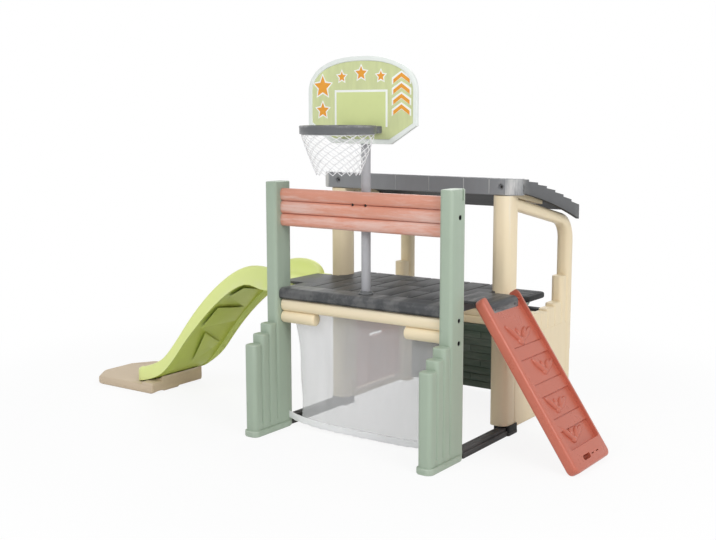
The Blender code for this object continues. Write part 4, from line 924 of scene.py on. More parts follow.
# The bent arch of a wall: its bend, its half depths at the head and the rear, and its slope
ARCH_RADIUS = 0.150
ARCH_HEAD = 0.028
ARCH_REAR = 0.036
ARCH_SLOPE = math.atan2(0.102, 0.480)
ARCH_FRONT_TOP = 1.132
ARCH_Y = HOUSE_REAR - ARCH_RADIUS
ARCH_RUN = ARCH_Y + ARCH_RADIUS * math.sin(ARCH_SLOPE) - HOUSE_FRONT
ARCH_Z = ARCH_FRONT_TOP - ARCH_RUN * math.tan(ARCH_SLOPE) - ARCH_RADIUS * math.cos(ARCH_SLOPE)
ARCH_FOOT = 0.300

# The boards of a wall: where they stand, their laps and their tops from front to rear
WALL_INSET = 0.004
WALL_BOTTOM = 0.0245
WALL_POST_DEEP = 0.080
FRONT_STEP = HOUSE_FRONT + WALL_POST_DEEP + 0.045
REAR_STEP = HOUSE_REAR - 0.072 - 0.058
FRONT_STEP_TOP = 0.660
REAR_STEP_TOP = 0.690
REAR_FOOT_TOP = 0.42
SILL_DEPTH = 0.10
BOARD_TOPS = {RIGHT: (0.574, 0.556, 0.541, 0.534, 0.545, 0.562), LEFT: (0.049,) * 6}
BOARD_RIM = {RIGHT: 0.008, LEFT: 0.004}
SILL_TOP = {RIGHT: 0.550 - SILL_DEPTH, LEFT: 0.046}
# The ledge below the deck, the hinge block of the door and the screw holes at the rear
LEDGE_TOP = 0.6377
LEDGE_TALL = 0.0444
HINGE_X = 0.475
HINGE_HALF = 0.015
HINGE_LOW = 0.5662
HINGE_HIGH = 0.592
REAR_BORES = (0.474, 0.116)


def arch_stations():
    """Stations along the arch, from the roof to the floor: y, z, direction and half depth."""
    start_y = HOUSE_FRONT + 0.020
    reach_y = ARCH_Y + ARCH_RADIUS * math.sin(ARCH_SLOPE) - start_y
    top_z = ARCH_Z + ARCH_RADIUS * math.cos(ARCH_SLOPE) + reach_y * math.tan(ARCH_SLOPE)
    stations = [(start_y, top_z - ARCH_HEAD * math.cos(ARCH_SLOPE), ARCH_SLOPE, ARCH_HEAD)]
    steps = 8
    for step in range(steps + 1):
        share = step / steps
        angle = ARCH_SLOPE + (math.pi / 2 - ARCH_SLOPE) * share
        band = ARCH_HEAD + (ARCH_REAR - ARCH_HEAD) * share
        reach = ARCH_RADIUS - band
        stations.append((ARCH_Y + reach * math.sin(angle), ARCH_Z + reach * math.cos(angle), angle, band))
    stations.append((HOUSE_REAR - ARCH_REAR, ARCH_FOOT, math.pi / 2, ARCH_REAR))
    return stations


class PLAYHOUSE_OT_walls(bpy.types.Operator):
    """Make the two house walls: round posts, the bent arch, and the boards below with stepped logs"""

    bl_idname = "playhouse.walls"
    bl_label = "House walls"

    def frame_of_wall(self, shape, seat):
        """Add the front post, its round face, the arch and the fillet below the roof."""
        block(
            shape, (WALL_INNER, HOUSE_FRONT, 0.0066),
            (PANEL_OUTER, HOUSE_FRONT + WALL_POST_DEEP, seat - 0.004), rim=0.006, corner=0.030)
        loft(shape, [
            [Vector((POST_X + u, POST_Y + v, z)) for u, v in oval(POST_WIDE, POST_DEEP, 0.74, 32)]
            for z in POST_STATIONS])
        middle_x = (WALL_INNER + PANEL_OUTER) / 2
        half_x = (PANEL_OUTER - WALL_INNER) / 2
        sections = []
        for y, z, angle, band in arch_stations():
            middle = Vector((middle_x, y, z))
            out = Vector((0, math.sin(angle), math.cos(angle)))
            sections.append([middle + Vector((u, 0, 0)) + out * v for u, v in oval(half_x, band, 0.72, 28)])
        loft(shape, sections)
        near, far = HOUSE_FRONT + 0.030, HOUSE_FRONT + 0.34
        fillet = [(near, seat - 0.007), (far, 1.093), (far, 1.070), (near, 1.125)]
        slab(shape, fillet, "X", WALL_INNER + 0.012, PANEL_OUTER - 0.012, rim=0.002)

    def boards(self, shape, side):
        """Add the stepped logs at both ends, the boards between them and the sill behind them."""
        near, far = WALL_INNER + WALL_INSET, PANEL_OUTER - WALL_INSET
        steps = (
            (FRONT_STEP - 0.062, FRONT_STEP, FRONT_STEP_TOP), (REAR_STEP, REAR_STEP + 0.070, REAR_STEP_TOP))
        for first, last, tall in steps:
            block(shape, (near, first, 0.03), (far, last, tall), rim=0.006, corner=0.022)
        block(
            shape, (WALL_INNER + 0.001, HOUSE_REAR - 0.078, 0.0),
            (PANEL_OUTER - 0.001, HOUSE_REAR, REAR_FOOT_TOP), rim=0.006, corner=0.030)
        tops = BOARD_TOPS[side]
        pitch = (REAR_STEP - FRONT_STEP + 0.02) / len(tops)
        for index, top in enumerate(tops):
            first = FRONT_STEP - 0.010 + index * pitch
            block(
                shape, (near + 0.003, first - 0.004, WALL_BOTTOM), (far - 0.003, first + pitch + 0.004, top),
                rim=BOARD_RIM[side], corner=0.014)
        block(
            shape, (near, HOUSE_FRONT + 0.070, WALL_BOTTOM), (far, HOUSE_REAR - 0.05, SILL_TOP[side]),
            rim=0.006)

    def execute(self, context):
        for label, side in SIDES:
            shape = bmesh.new()
            self.frame_of_wall(shape, high(f"house_wall_{label}").z)
            self.boards(shape, side)
            block(
                shape, (WALL_INNER - 0.022, HOUSE_FRONT + 0.012, LEDGE_TOP - LEDGE_TALL),
                (WALL_INNER + 0.011, HOUSE_FRONT + 0.068, LEDGE_TOP), rim=0.004)
            if side == LEFT:
                hinge_y = (low("door_pin_upper").y + high("door_pin_upper").y) / 2
                block(
                    shape, (HINGE_X - HINGE_HALF, hinge_y - HINGE_HALF, HINGE_LOW),
                    (HINGE_X + HINGE_HALF, HOUSE_REAR - 0.06, HINGE_HIGH), rim=0.004)
            tool = bmesh.new()
            for z in REAR_BORES:
                rod(
                    tool, (PANEL_OUTER - 0.010, HOUSE_REAR - 0.002, z),
                    (PANEL_OUTER + 0.03, HOUSE_REAR + 0.002, z), 0.010, rim=0.0, segments=20)
            shape = carve(shape, tool)
            flipped(shape, side)
            new_piece(
                f"wall_moulding_{label}", shape, "finish_cream_upright",
                (f"house_wall_{label}",), bevel=0.0015)
        return {"FINISHED"}


# How far each board of the half door stays below its top, and the door's slot
DOOR_DROPS = (0.014, 0.006, 0.0, 0.006, 0.0)
DOOR_LAP = 0.002
DOOR_LEDGE_HALF = 0.016
DOOR_SLOT_LOW = 0.314
DOOR_SLOT_HIGH = 0.336
DOOR_SLOT_HALF = 0.08
DOOR_SLOT_SHIFT = 0.015


class PLAYHOUSE_OT_half_door(bpy.types.Operator):
    """Make the half door of upright boards with its long slot, and its two pins"""

    bl_idname = "playhouse.half_door"
    bl_label = "Half door"

    def execute(self, context):
        near, far = low("half_door"), high("half_door")
        shape = bmesh.new()
        pitch = (far.y - near.y) / len(DOOR_DROPS)
        for index, drop in enumerate(DOOR_DROPS):
            first = near.y + index * pitch
            block(
                shape, (near.x, max(first - DOOR_LAP, near.y), near.z),
                (far.x, min(first + pitch + DOOR_LAP, far.y), far.z - drop), rim=0.006, corner=0.0135)
        for z in (near.z + 0.045, far.z - 0.060):
            block(
                shape, (near.x - 0.0005, near.y + 0.02, z - DOOR_LEDGE_HALF),
                (near.x + 0.01, far.y - 0.025, z + DOOR_LEDGE_HALF), rim=0.005)
        tool = bmesh.new()
        middle = (near.y + far.y - DOOR_SLOT_SHIFT) / 2
        block(
            tool, (near.x - 0.05, middle - DOOR_SLOT_HALF, DOOR_SLOT_LOW),
            (far.x + 0.05, middle + DOOR_SLOT_HALF, DOOR_SLOT_HIGH), rim=0.0, corner=0.0109, axis=0)
        shape = carve(shape, tool)
        new_piece(
            "door_moulding", shape, "finish_door", ("half_door",), "door", bevel=0.0015)
        for label in ("lower", "upper"):
            node = f"door_pin_{label}"
            first, last = low(node), high(node)
            x, y = (first.x + last.x) / 2, (first.y + last.y) / 2
            pin = bmesh.new()
            rod(pin, (x, y, first.z), (x, y, last.z), (last.x - first.x) / 2, rim=0.0015, segments=28)
            new_piece(f"{node}_turned", pin, "finish_tube", (node,), "door")
        return {"FINISHED"}


SIDING_COURSES = 9
SIDING_JOINTS = ((0.22, 0.58, 0.86), (0.10, 0.43, 0.72), (0.31, 0.64, 0.93), (0.17, 0.50, 0.79))
SIDING_ACROSS = 0.0012
SIDING_UP = 0.0014
BEAM_LAP = 0.002
COUNTER_BOARDS = 3
COUNTER_BORDER = 0.015
COUNTER_STAND = 0.002


class PLAYHOUSE_OT_rear_wall(bpy.types.Operator):
    """Make the siding of short boards, the cream beam, the cap and the counter on its brackets"""

    bl_idname = "playhouse.rear_wall"
    bl_label = "Rear wall and counter"

    def execute(self, context):
        first, last = low("rear_siding"), high("rear_siding")
        shape = bmesh.new()
        block(shape, (first.x, first.y + 0.004, first.z), (last.x, last.y - 0.004, last.z), rim=0.002)
        pitch = (last.z - first.z) / SIDING_COURSES
        for course in range(SIDING_COURSES):
            low_z = first.z + course * pitch
            joints = SIDING_JOINTS[course % len(SIDING_JOINTS)]
            stops = [first.x] + [first.x + (last.x - first.x) * joint for joint in joints] + [last.x]
            for left, right in zip(stops, stops[1:]):
                block(
                    shape, (left + SIDING_ACROSS, first.y, low_z + SIDING_UP),
                    (right - SIDING_ACROSS, last.y, low_z + pitch - SIDING_UP), rim=0.0032)
        new_piece("siding_boards", shape, "finish_siding", ("rear_siding",))
        first, last = low("rear_beam"), high("rear_beam")
        shape = bmesh.new()
        half = (last.z - first.z) / 2
        for bottom in (first.z, first.z + half - BEAM_LAP):
            top = first.z + half if bottom == first.z else last.z
            block(shape, (first.x, first.y, bottom), (last.x, last.y, top), rim=0.010, steps=4)
        new_piece("beam_logs", shape, "finish_cream_log", ("rear_beam",))
        shape = bmesh.new()
        block(shape, low("rear_cap"), high("rear_cap"), rim=0.009, steps=4)
        new_piece("cap_board", shape, "finish_counter", ("rear_cap",))
        first, last = low("counter_top"), high("counter_top")
        shape = bmesh.new()
        block(shape, first, last - Vector((0, 0, COUNTER_STAND)), rim=0.010, corner=0.032, steps=4)
        pitch = (last.y - first.y - 2 * COUNTER_BORDER) / COUNTER_BOARDS
        for index in range(COUNTER_BOARDS):
            near = first.y + COUNTER_BORDER + index * pitch
            block(
                shape, (first.x + 0.018, near + 0.002, last.z - 0.008),
                (last.x - 0.018, near + pitch - 0.002, last.z), rim=0.0025, corner=0.006)
        new_piece("counter_board", shape, "finish_counter", ("counter_top",))
        for label, _ in SIDES:
            node = f"counter_bracket_{label}"
            new_piece(f"bracket_{label}", copy_node(node), "finish_sage", (node,), bevel=0.004)
        return {"FINISHED"}


# Roof

ROOF_TOP = high("roof_fascia").z
ROOF_BOTTOM = low("roof_fascia").z
ROOF_FRONT = low("roof_fascia").y
ROOF_REAR = high("roof_sheet").y
ROOF_HALF = high("roof_side_right").x
ROOF_FALL = 0.172
ROOF_BULGE = 0.064
COURSES = 7
COURSE_LENGTH = (ROOF_REAR - ROOF_FRONT) / COURSES
ROOF_SHEET_START = 0.4203
ROOF_LINE_STEPS = 12
SIDE_BOARD = 0.0203
SIDE_BOARD_TALL = 0.062
# The shakes: how many in even and odd courses, their stagger and the steps of their height
SHAKES = (11, 10)
SHAKE_SHIFT = 0.010
SHAKE_LIFT = 0.0010
SHAKE_STAND = 0.0075
SHAKE_SINK = 0.006
SHAKE_GAP = 0.0012
FASCIA_SEAMS = (-0.30, -0.115, 0.075, 0.265, 0.40)
SEAM_HALF = 0.0022
SEAM_STAND = 0.0012
# The screw holes of the fascia: depth and radius of the bore and of its mouth
FASCIA_BORES = ((0.010, 0.013), (0.0016, 0.0165))
# Where each slanted roof corner leaves the fascia and meets the side board, as x and y
ROOF_CORNERS = (
    (LEFT, (0.515, ROOF_FRONT), (0.555, ROOF_FRONT + 0.022)),
    (RIGHT, (0.484, ROOF_FRONT), (0.552, ROOF_FRONT + 0.040)),
)


def roof_line(y):
    """The height of the smooth line under the roof courses at y."""
    share = (y - ROOF_FRONT) / (ROOF_REAR - ROOF_FRONT)
    return ROOF_TOP - ROOF_FALL * share + ROOF_BULGE * share * (1 - share)


def course_ends(course):
    """Where a course of shakes starts and ends, as y."""
    start = ROOF_FRONT + course * COURSE_LENGTH
    return max(start, ROOF_SHEET_START), start + COURSE_LENGTH


def corner_tool(gap=0.001):
    """The two corners that are cut from the front of the roof."""
    tool = bmesh.new()
    for side, (near_x, near_y), (far_x, far_y) in ROOF_CORNERS:
        lean = (far_y - near_y) / (far_x - near_x)
        first, last = near_x - BEYOND, far_x + 0.03
        outline = [
            (first, near_y - BEYOND * lean + gap), (last, near_y + (last - near_x) * lean + gap),
            (last, near_y - 0.05), (first, near_y - 0.05)]
        slab(tool, [(side * u, v) for u, v in outline], "Z", ROOF_TOP - 0.3, ROOF_TOP + 0.1, rim=0.0)
    return tool


class PLAYHOUSE_OT_roof(bpy.types.Operator):
    """Make the roof with its courses of shakes, the side boards, the fascia and the screw holes"""

    bl_idname = "playhouse.roof"
    bl_label = "Roof"

    def shakes(self, shape, half):
        """Add the staggered shakes of every course."""
        for course in range(COURSES):
            first, last = course_ends(course)
            count = SHAKES[course % 2]
            pitch = 2 * half / count
            shifts = [SHAKE_SHIFT * ((index * 7 + course * 3) % 5 - 2) / 2 for index in range(count + 1)]
            shifts[0] = shifts[-1] = 0
            for index in range(count):
                left = -half + index * pitch + shifts[index]
                right = -half + (index + 1) * pitch + shifts[index + 1]
                lift = SHAKE_LIFT * ((index * 5 + course * 2) % 3)
                outline = [
                    (first, roof_line(first) - SHAKE_SINK), (first, roof_line(first) + 0.0005),
                    (last, roof_line(last) + SHAKE_STAND + lift), (last, roof_line(last) - SHAKE_SINK)]
                slab(
                    shape, outline, "X", left + SHAKE_GAP, right - SHAKE_GAP, rim=0.0018, steps=2,
                    corner=0.0018)

    def fascia(self):
        """Return the fascia with its slanted corners, seams and screw holes."""
        shape = bmesh.new()
        rear = high("roof_fascia").y
        outline = [
            (-ROOF_HALF + 0.004, ROOF_BOTTOM), (ROOF_HALF - 0.002, ROOF_BOTTOM),
            (ROOF_HALF, ROOF_TOP), (-ROOF_HALF + 0.018, ROOF_TOP)]
        slab(shape, outline, "Y", ROOF_FRONT, rear, rim=0.004, corner=0.010)
        shape = carve(shape, corner_tool(GAP))
        for side, (near_x, near_y), (far_x, far_y) in ROOF_CORNERS:
            start = near_x - 0.012
            outline = [
                (start, near_y), (near_x, near_y), (far_x, far_y), (far_x, far_y + 0.020), (start, rear)]
            slab(shape, [(side * u, v) for u, v in outline], "Z", ROOF_BOTTOM, ROOF_TOP - 0.002, rim=0.003)
        for x in FASCIA_SEAMS:
            block(
                shape, (x - SEAM_HALF, ROOF_FRONT - SEAM_STAND, ROOF_BOTTOM + 0.006),
                (x + SEAM_HALF, ROOF_FRONT + 0.004, ROOF_TOP - 0.006), rim=0.001, steps=2)
        tool = bmesh.new()
        middle = (ROOF_BOTTOM + ROOF_TOP) / 2
        for label, _ in SIDES:
            node = f"roof_screw_{label}"
            x = (low(node).x + high(node).x) / 2
            for deep, radius in FASCIA_BORES:
                rod(tool, (x, ROOF_FRONT - BEYOND, middle), (x, ROOF_FRONT + deep, middle), radius, rim=0.0)
        return carve(shape, tool)

    def execute(self, context):
        half = ROOF_HALF - SIDE_BOARD
        stops = [
            ROOF_SHEET_START + (ROOF_REAR - ROOF_SHEET_START) * step / ROOF_LINE_STEPS
            for step in range(ROOF_LINE_STEPS + 1)]
        shape = bmesh.new()
        outline = [(y, roof_line(y) - 0.002) for y in stops]
        outline += [(y, roof_line(y) - 0.0217) for y in reversed(stops)]
        slab(shape, outline, "X", -half, half, rim=0.0)
        self.shakes(shape, half)
        shape = carve(shape, corner_tool())
        new_piece("roof_shakes", shape, "finish_roof", ("roof_sheet",))
        outline = []
        for course in range(COURSES):
            first, last = course_ends(course)
            outline += [(first, roof_line(first)), (last, roof_line(last) + 0.010)]
        outline += [(y, roof_line(y) - SIDE_BOARD_TALL) for y in reversed(stops)]
        for label, side in SIDES:
            shape = bmesh.new()
            slab(shape, outline, "X", half + GAP, ROOF_HALF, rim=0.0022, steps=2)
            flipped(shape, side)
            shape = carve(shape, corner_tool())
            new_piece(f"roof_board_{label}", shape, "finish_roof", (f"roof_side_{label}",))
        new_piece("fascia_board", self.fascia(), "finish_fascia", ("roof_fascia",))
        return {"FINISHED"}


# Slide

# Stops of the slide's upper edge: distance, height and slope down
SLIDE_STOPS = (
    (SLIDE_START, 0.7557, 0.0), (0.716, 0.7557, 0.0), (1.186, 0.4257, 1.20), (1.375, 0.206, 0.85),
    (1.596, 0.112, 0.38))
SLIDE_PULL = 0.90
SLIDE_FLOOR = 0.010
BASE_TOP = 0.0463
BASE_SEAT = BASE_TOP + 0.0015
RIM_TONGUE = 0.050
RIM_START = 0.115
RIM_LEAST = 0.012
LIP_ROUND = 0.05
LIP_ANGLES = (90, 68, 48, 30, 14, 0)
# The height of the flanks and of the floor below the upper edge, by distance
FLANK_FRONT = (
    (0.516, 0.122), (0.66, 0.118), (0.80, 0.088), (1.10, 0.094), (1.25, 0.085), (1.40, 0.080), (1.60, 0.075))
FLANK_REAR = ((0.516, 0.122), (0.90, 0.120), (1.25, 0.122), (1.40, 0.090), (1.60, 0.075))
FLOOR_DROP = ((0.516, 0.0806), (0.60, 0.0806), (0.75, 0.074), (1.60, 0.074))
# The section of a flank from outside in: its round rim below the top, its inner wall as shares
# of the wall's height, and the fillet above the floor
RIM_ROUND = (
    (0.000, 0.016), (0.0014, 0.009), (0.0055, 0.0035), (0.012, 0.0005), (0.020, 0.0005), (0.0275, 0.004),
    (0.0315, 0.010))
RIM_INNER = ((0.034, 0.66), (0.038, 0.38), (0.046, 0.16))
FLOOR_FILLET = ((0.060, 0.0035), (0.085, 0.0008), (0.130, 0.0))
FLANK_EDGE = 0.017
FLANK_INNER = 0.020
UNDER_EDGE = 0.030

# The facets below the slide: corners as x distance and y, the peak and its depth
FACETS = (
    (((1.16, 0.15), (1.33, 0.22), (1.25, 0.36)), (1.255, 0.285), 0.026),
    (((1.01, 0.09), (1.13, 0.09), (1.12, 0.35), (1.05, 0.35)), (1.075, 0.150), 0.018),
    (((0.83, 0.09), (0.93, 0.09), (1.04, 0.34), (0.95, 0.36)), (0.905, 0.160), 0.024),
)
FACET_SINK = 0.003

# The foot plate seen from above, and its raised end seen from the right
FOOT_REAR = 0.460
FOOT_LEFT = -1.930
FOOT_RIGHT = -1.420
FOOT_PLAN = (
    (FOOT_RIGHT, 0.000), (-1.845, 0.000), (FOOT_LEFT, 0.120), (FOOT_LEFT, 0.330), (-1.850, FOOT_REAR),
    (-1.500, FOOT_REAR), (FOOT_RIGHT, 0.390))
FOOT_END = ((0.000, 0.004), (0.002, 0.060), (0.120, 0.062), (0.390, 0.074), (0.390, 0.004))
FOOT_TALL = 0.046
FOOT_END_WIDE = 0.085
# The section of the mound behind the slide: how far in front of its rear edge, as a share of its
# half width, and how high, as a share of its height
MOUND_STEPS = 12
MOUND_BACK = ((1.55, 0.93), (1.1, 1.0), (0.7, 0.96), (0.35, 0.72))
# The cradle that carries the slide's lip, and the arch below the raised end
CRADLE_STOPS = (1.421, 1.435, 1.450, 1.465, 1.480)
CRADLE_INSET = 0.034
CRADLE_SEAT = 0.0475
CRADLE_CLEAR = 0.0025
FOOT_ARCH = arc(0.055, -0.004, 0.050, 180, 0, 12, 0.30)


def slide_rim(steps):
    """The upper edge of the slide from the deck to the lip, as x distance and z."""
    points = []
    for (x, z, slope), (end_x, end_z, end_slope) in zip(SLIDE_STOPS, SLIDE_STOPS[1:]):
        pull = (end_x - x) * SLIDE_PULL
        for step in range(steps):
            t = step / steps
            rise = 3 * t ** 2 - 2 * t ** 3
            lead, trail = t ** 3 - 2 * t ** 2 + t, t ** 3 - t ** 2
            points.append((
                x + (end_x - x) * rise + pull * (lead + trail),
                z + (end_z - z) * rise - pull * (slope * lead + end_slope * trail)))
    return points + [SLIDE_STOPS[-1][:2]]


def between(value, table):
    """The value of a table of pairs at a place, eased from pair to pair."""
    for (start, first), (end, last) in zip(table, table[1:]):
        if value <= end:
            t = max(0.0, (value - start) / (end - start))
            return first + (last - first) * (3 * t ** 2 - 2 * t ** 3)
    return table[-1][1]


def slide_under(rim, x):
    """The height of the underside of the slide's floor at a distance x."""
    return next(height for reach, height in rim if reach >= x) - between(x, FLOOR_DROP) - SLIDE_FLOOR


def flank(outer, top, floor):
    """The section of a flank from its lower edge in to the floor, as a distance and a height."""
    wall = top - floor
    points = [(0.000, outer), (0.000, outer + (top - outer) * 0.5)]
    points += [(u, top - drop) for u, drop in RIM_ROUND]
    points += [(u, floor + wall * share) for u, share in RIM_INNER]
    return points + [(u, floor + rise) for u, rise in FLOOR_FILLET]


def slide_section(x, rim):
    """The section of the slide at a distance x where the rim is at a height."""
    under = max(rim - between(x, FLOOR_DROP) - SLIDE_FLOOR, BASE_SEAT)
    floor = under + SLIDE_FLOOR
    front = max(rim - between(x, FLANK_FRONT), BASE_SEAT - 0.001)
    rear = max(rim - between(x, FLANK_REAR), BASE_SEAT - 0.001)
    least = floor + RIM_LEAST
    top = rim
    start = x - SLIDE_STOPS[0][0]
    if start < RIM_TONGUE + RIM_START:
        rise = max(start - RIM_TONGUE, 0) / RIM_START
        top = least + (top - least) * math.sqrt(max(1 - (1 - rise) ** 2, 0))
    top = max(top, least)
    points = [(BAY_FRONT + u, z) for u, z in flank(front, top, floor)]
    points += [(BAY_REAR - u, z) for u, z in reversed(flank(rear, top, floor))]
    points += [
        (BAY_REAR - FLANK_EDGE, rear + 0.001), (BAY_REAR - FLANK_INNER, max(under, rear + 0.0012)),
        (BAY_REAR - UNDER_EDGE, under)]
    width = BAY_REAR - BAY_FRONT
    points += [(BAY_FRONT + width * share, under) for share in (0.75, 0.5, 0.25)]
    points += [
        (BAY_FRONT + UNDER_EDGE, under), (BAY_FRONT + FLANK_INNER, max(under, front + 0.0012)),
        (BAY_FRONT + FLANK_EDGE, front + 0.001)]
    tail = SLIDE_STOPS[-1][0] - x
    pinch = 0.0
    if tail < LIP_ROUND:
        pinch = LIP_ROUND - math.sqrt(max(LIP_ROUND ** 2 - (LIP_ROUND - tail) ** 2, 0))
    scale = 1 - pinch / (width / 2)
    middle = (BAY_FRONT + BAY_REAR) / 2
    return [Vector((-x, middle + (y - middle) * scale, z)) for y, z in points]


def slide_stations(rim):
    """The rim's places for the sections: closer where it rises and where the lip is rounded."""
    start_x, start_z = rim[0]
    lead = [rim[0]] + [
        (start_x + RIM_TONGUE + RIM_START * (1 - math.cos(math.radians(angle))), start_z)
        for angle in range(0, 91, 15)]
    tail_x, tail_z = rim[-1]
    rest = [point for point in rim if lead[-1][0] + 0.004 < point[0] < tail_x - LIP_ROUND - 0.002]
    tail = []
    for angle in LIP_ANGLES:
        back = LIP_ROUND * (1 - math.cos(math.radians(angle)))
        tail.append((tail_x - back, tail_z + back * SLIDE_STOPS[-1][2]))
    return lead + rest + tail


class PLAYHOUSE_OT_slide(bpy.types.Operator):
    """Make the slide chute with its round rims and faceted underside, and its foot plate"""

    bl_idname = "playhouse.slide"
    bl_label = "Slide"

    def mound(self, shape):
        """Add the low mound along the rear of the foot plate."""
        sections = []
        for step in range(MOUND_STEPS + 1):
            share = step / MOUND_STEPS
            x = FOOT_LEFT + 0.030 + (FOOT_RIGHT - FOOT_LEFT - 0.100) * share
            tall = 0.040 + 0.062 * math.sin(min(share * 1.25, 1.0) * math.pi / 2) ** 2
            wide = 0.020 + 0.018 * math.sin(min(share * 1.6, 1.0) * math.pi / 2)
            edge = FOOT_REAR - 0.004 - 0.10 * (1 - min(share * 3.2, 1.0)) ** 2
            section = [(edge - wide * 2.0, 0.020), (edge - wide * 1.9, 0.047)]
            section += [(edge - wide * back, tall * up) for back, up in MOUND_BACK]
            sections.append([Vector((x, y, z)) for y, z in section + [(edge, 0.030), (edge, 0.008)]])
        loft(shape, sections, 0.006, 3)

    def execute(self, context):
        shape = bmesh.new()
        rim = slide_rim(12)
        loft(shape, [slide_section(x, z) for x, z in slide_stations(rim)])
        for corners, (peak_x, peak_y), depth in FACETS:
            facet = bmesh.new()
            base = [facet.verts.new((-x, y, slide_under(rim, x) + FACET_SINK)) for x, y in corners]
            tip = facet.verts.new((-peak_x, peak_y, slide_under(rim, peak_x) - depth))
            facet.faces.new(base)
            for first, last in zip(base, base[1:] + base[:1]):
                facet.faces.new((last, first, tip))
            bmesh.ops.recalc_face_normals(facet, faces=facet.faces)
            add(shape, facet)
        new_piece("slide_moulding", shape, "finish_lime", ("slide_chute",), crease=45)
        shape = bmesh.new()
        slab(shape, FOOT_PLAN, "Z", 0, FOOT_TALL, rim=0.014, steps=4, corner=0.022)
        slab(shape, FOOT_END, "X", FOOT_RIGHT - FOOT_END_WIDE, FOOT_RIGHT, rim=0.008, corner=0.012)
        self.mound(shape)
        outline = [(-CRADLE_STOPS[-1], 0.02), (-CRADLE_STOPS[0], 0.02)]
        outline += [
            (-reach, max(slide_under(rim, reach) - CRADLE_CLEAR, CRADLE_SEAT)) for reach in CRADLE_STOPS]
        slab(shape, outline, "Y", BAY_FRONT + CRADLE_INSET, BAY_REAR - CRADLE_INSET, rim=0.002)
        tool = bmesh.new()
        near, far = FOOT_RIGHT - 0.050, FOOT_RIGHT + 0.05
        slab(tool, [(-0.01, -0.02)] + FOOT_ARCH + [(0.12, -0.02)], "X", near, far, rim=0.0)
        block(tool, (near, 0.205, -0.02), (far, FOOT_REAR + 0.05, 0.011), rim=0.0)
        shape = carve(shape, tool)
        new_piece("slide_foot", shape, "finish_sand", ("slide_base",), bevel=0.003)
        return {"FINISHED"}


# Climbing ramp

RAMP_PLACE = Vector((0.5195, 0, 0.690))
RAMP_FOOT = Vector((0.985, 0, 0))
RAMP_LENGTH = (RAMP_FOOT - RAMP_PLACE).length
RAMP_THICK = 0.050
RAMP_FLOOR = 0.028
RAMP_RAIL = 0.042
RAMP_FAR_RAIL = 0.020
RAMP_PAD = 0.085
RAMP_SLOT = (0.034, 0.143)
RAMP_SLOT_HALF = (0.011, 0.035)
RAMP_SLITS = (0.249, 0.295)
RAMP_SLIT_HALF = (0.0025, 0.012)
# Where the lapped boards meet, down the ramp, and how high their two edges stand
BOARD_STOPS = (0.075, 0.255, 0.315, 0.435, 0.495, 0.600, 0.660, RAMP_LENGTH - RAMP_PAD + 0.004)
BOARD_STANDS = (0.002, 0.0065)
BOARD_LAP = 0.002
BOARD_GAP = 0.0015
BOARD_SINK = 0.006
# The grips: how far down the ramp and across it, and their size
HOLDS = ((0.236, 0.207, 1.15), (0.400, 0.262, 0.94), (0.574, 0.197, 0.94), (0.716, 0.190, 0.94))
# The ridges of a grip, from its heel: place down the ramp and across it, reach and height
GRIP_RIDGES = (
    ((0.000, 0.000), (-0.070, -0.050), 0.0150, 0.0150),
    ((0.000, 0.000), (-0.042, 0.110), 0.0140, 0.0140),
    ((-0.024, 0.008), (-0.050, 0.012), 0.0110, 0.0110),
    ((-0.020, 0.030), (-0.046, 0.070), 0.0120, 0.0120),
)
GRIP_HEEL = (0.019, 0.024, 0.014)


def egg(half_sizes, segments):
    """Return an egg of three half sizes as a shape of its own."""
    shape = bmesh.new()
    bmesh.ops.create_uvsphere(shape, u_segments=segments, v_segments=10, radius=1)
    bmesh.ops.scale(shape, vec=half_sizes, verts=shape.verts)
    return shape


def grip(shape, x, y, z, size):
    """Add a claw-shaped grip: ridges that spread up the ramp from a round heel."""
    for start, end, reach, tall in GRIP_RIDGES:
        first = Vector((*start, 0)) * size
        last = Vector((*end, 0)) * size
        run = last - first
        spin = Matrix.Rotation(math.atan2(run.y, run.x), 4, "Z")
        place = Matrix.Translation(Vector((x, y, z)) + (first + last) / 2) @ spin
        add(shape, egg((run.length / 2 + reach, reach, tall), 20), place)
    wide, deep, tall = GRIP_HEEL
    add(shape, egg((wide * size, deep * size, tall), 18), Matrix.Translation((x - 0.006, y, z)))


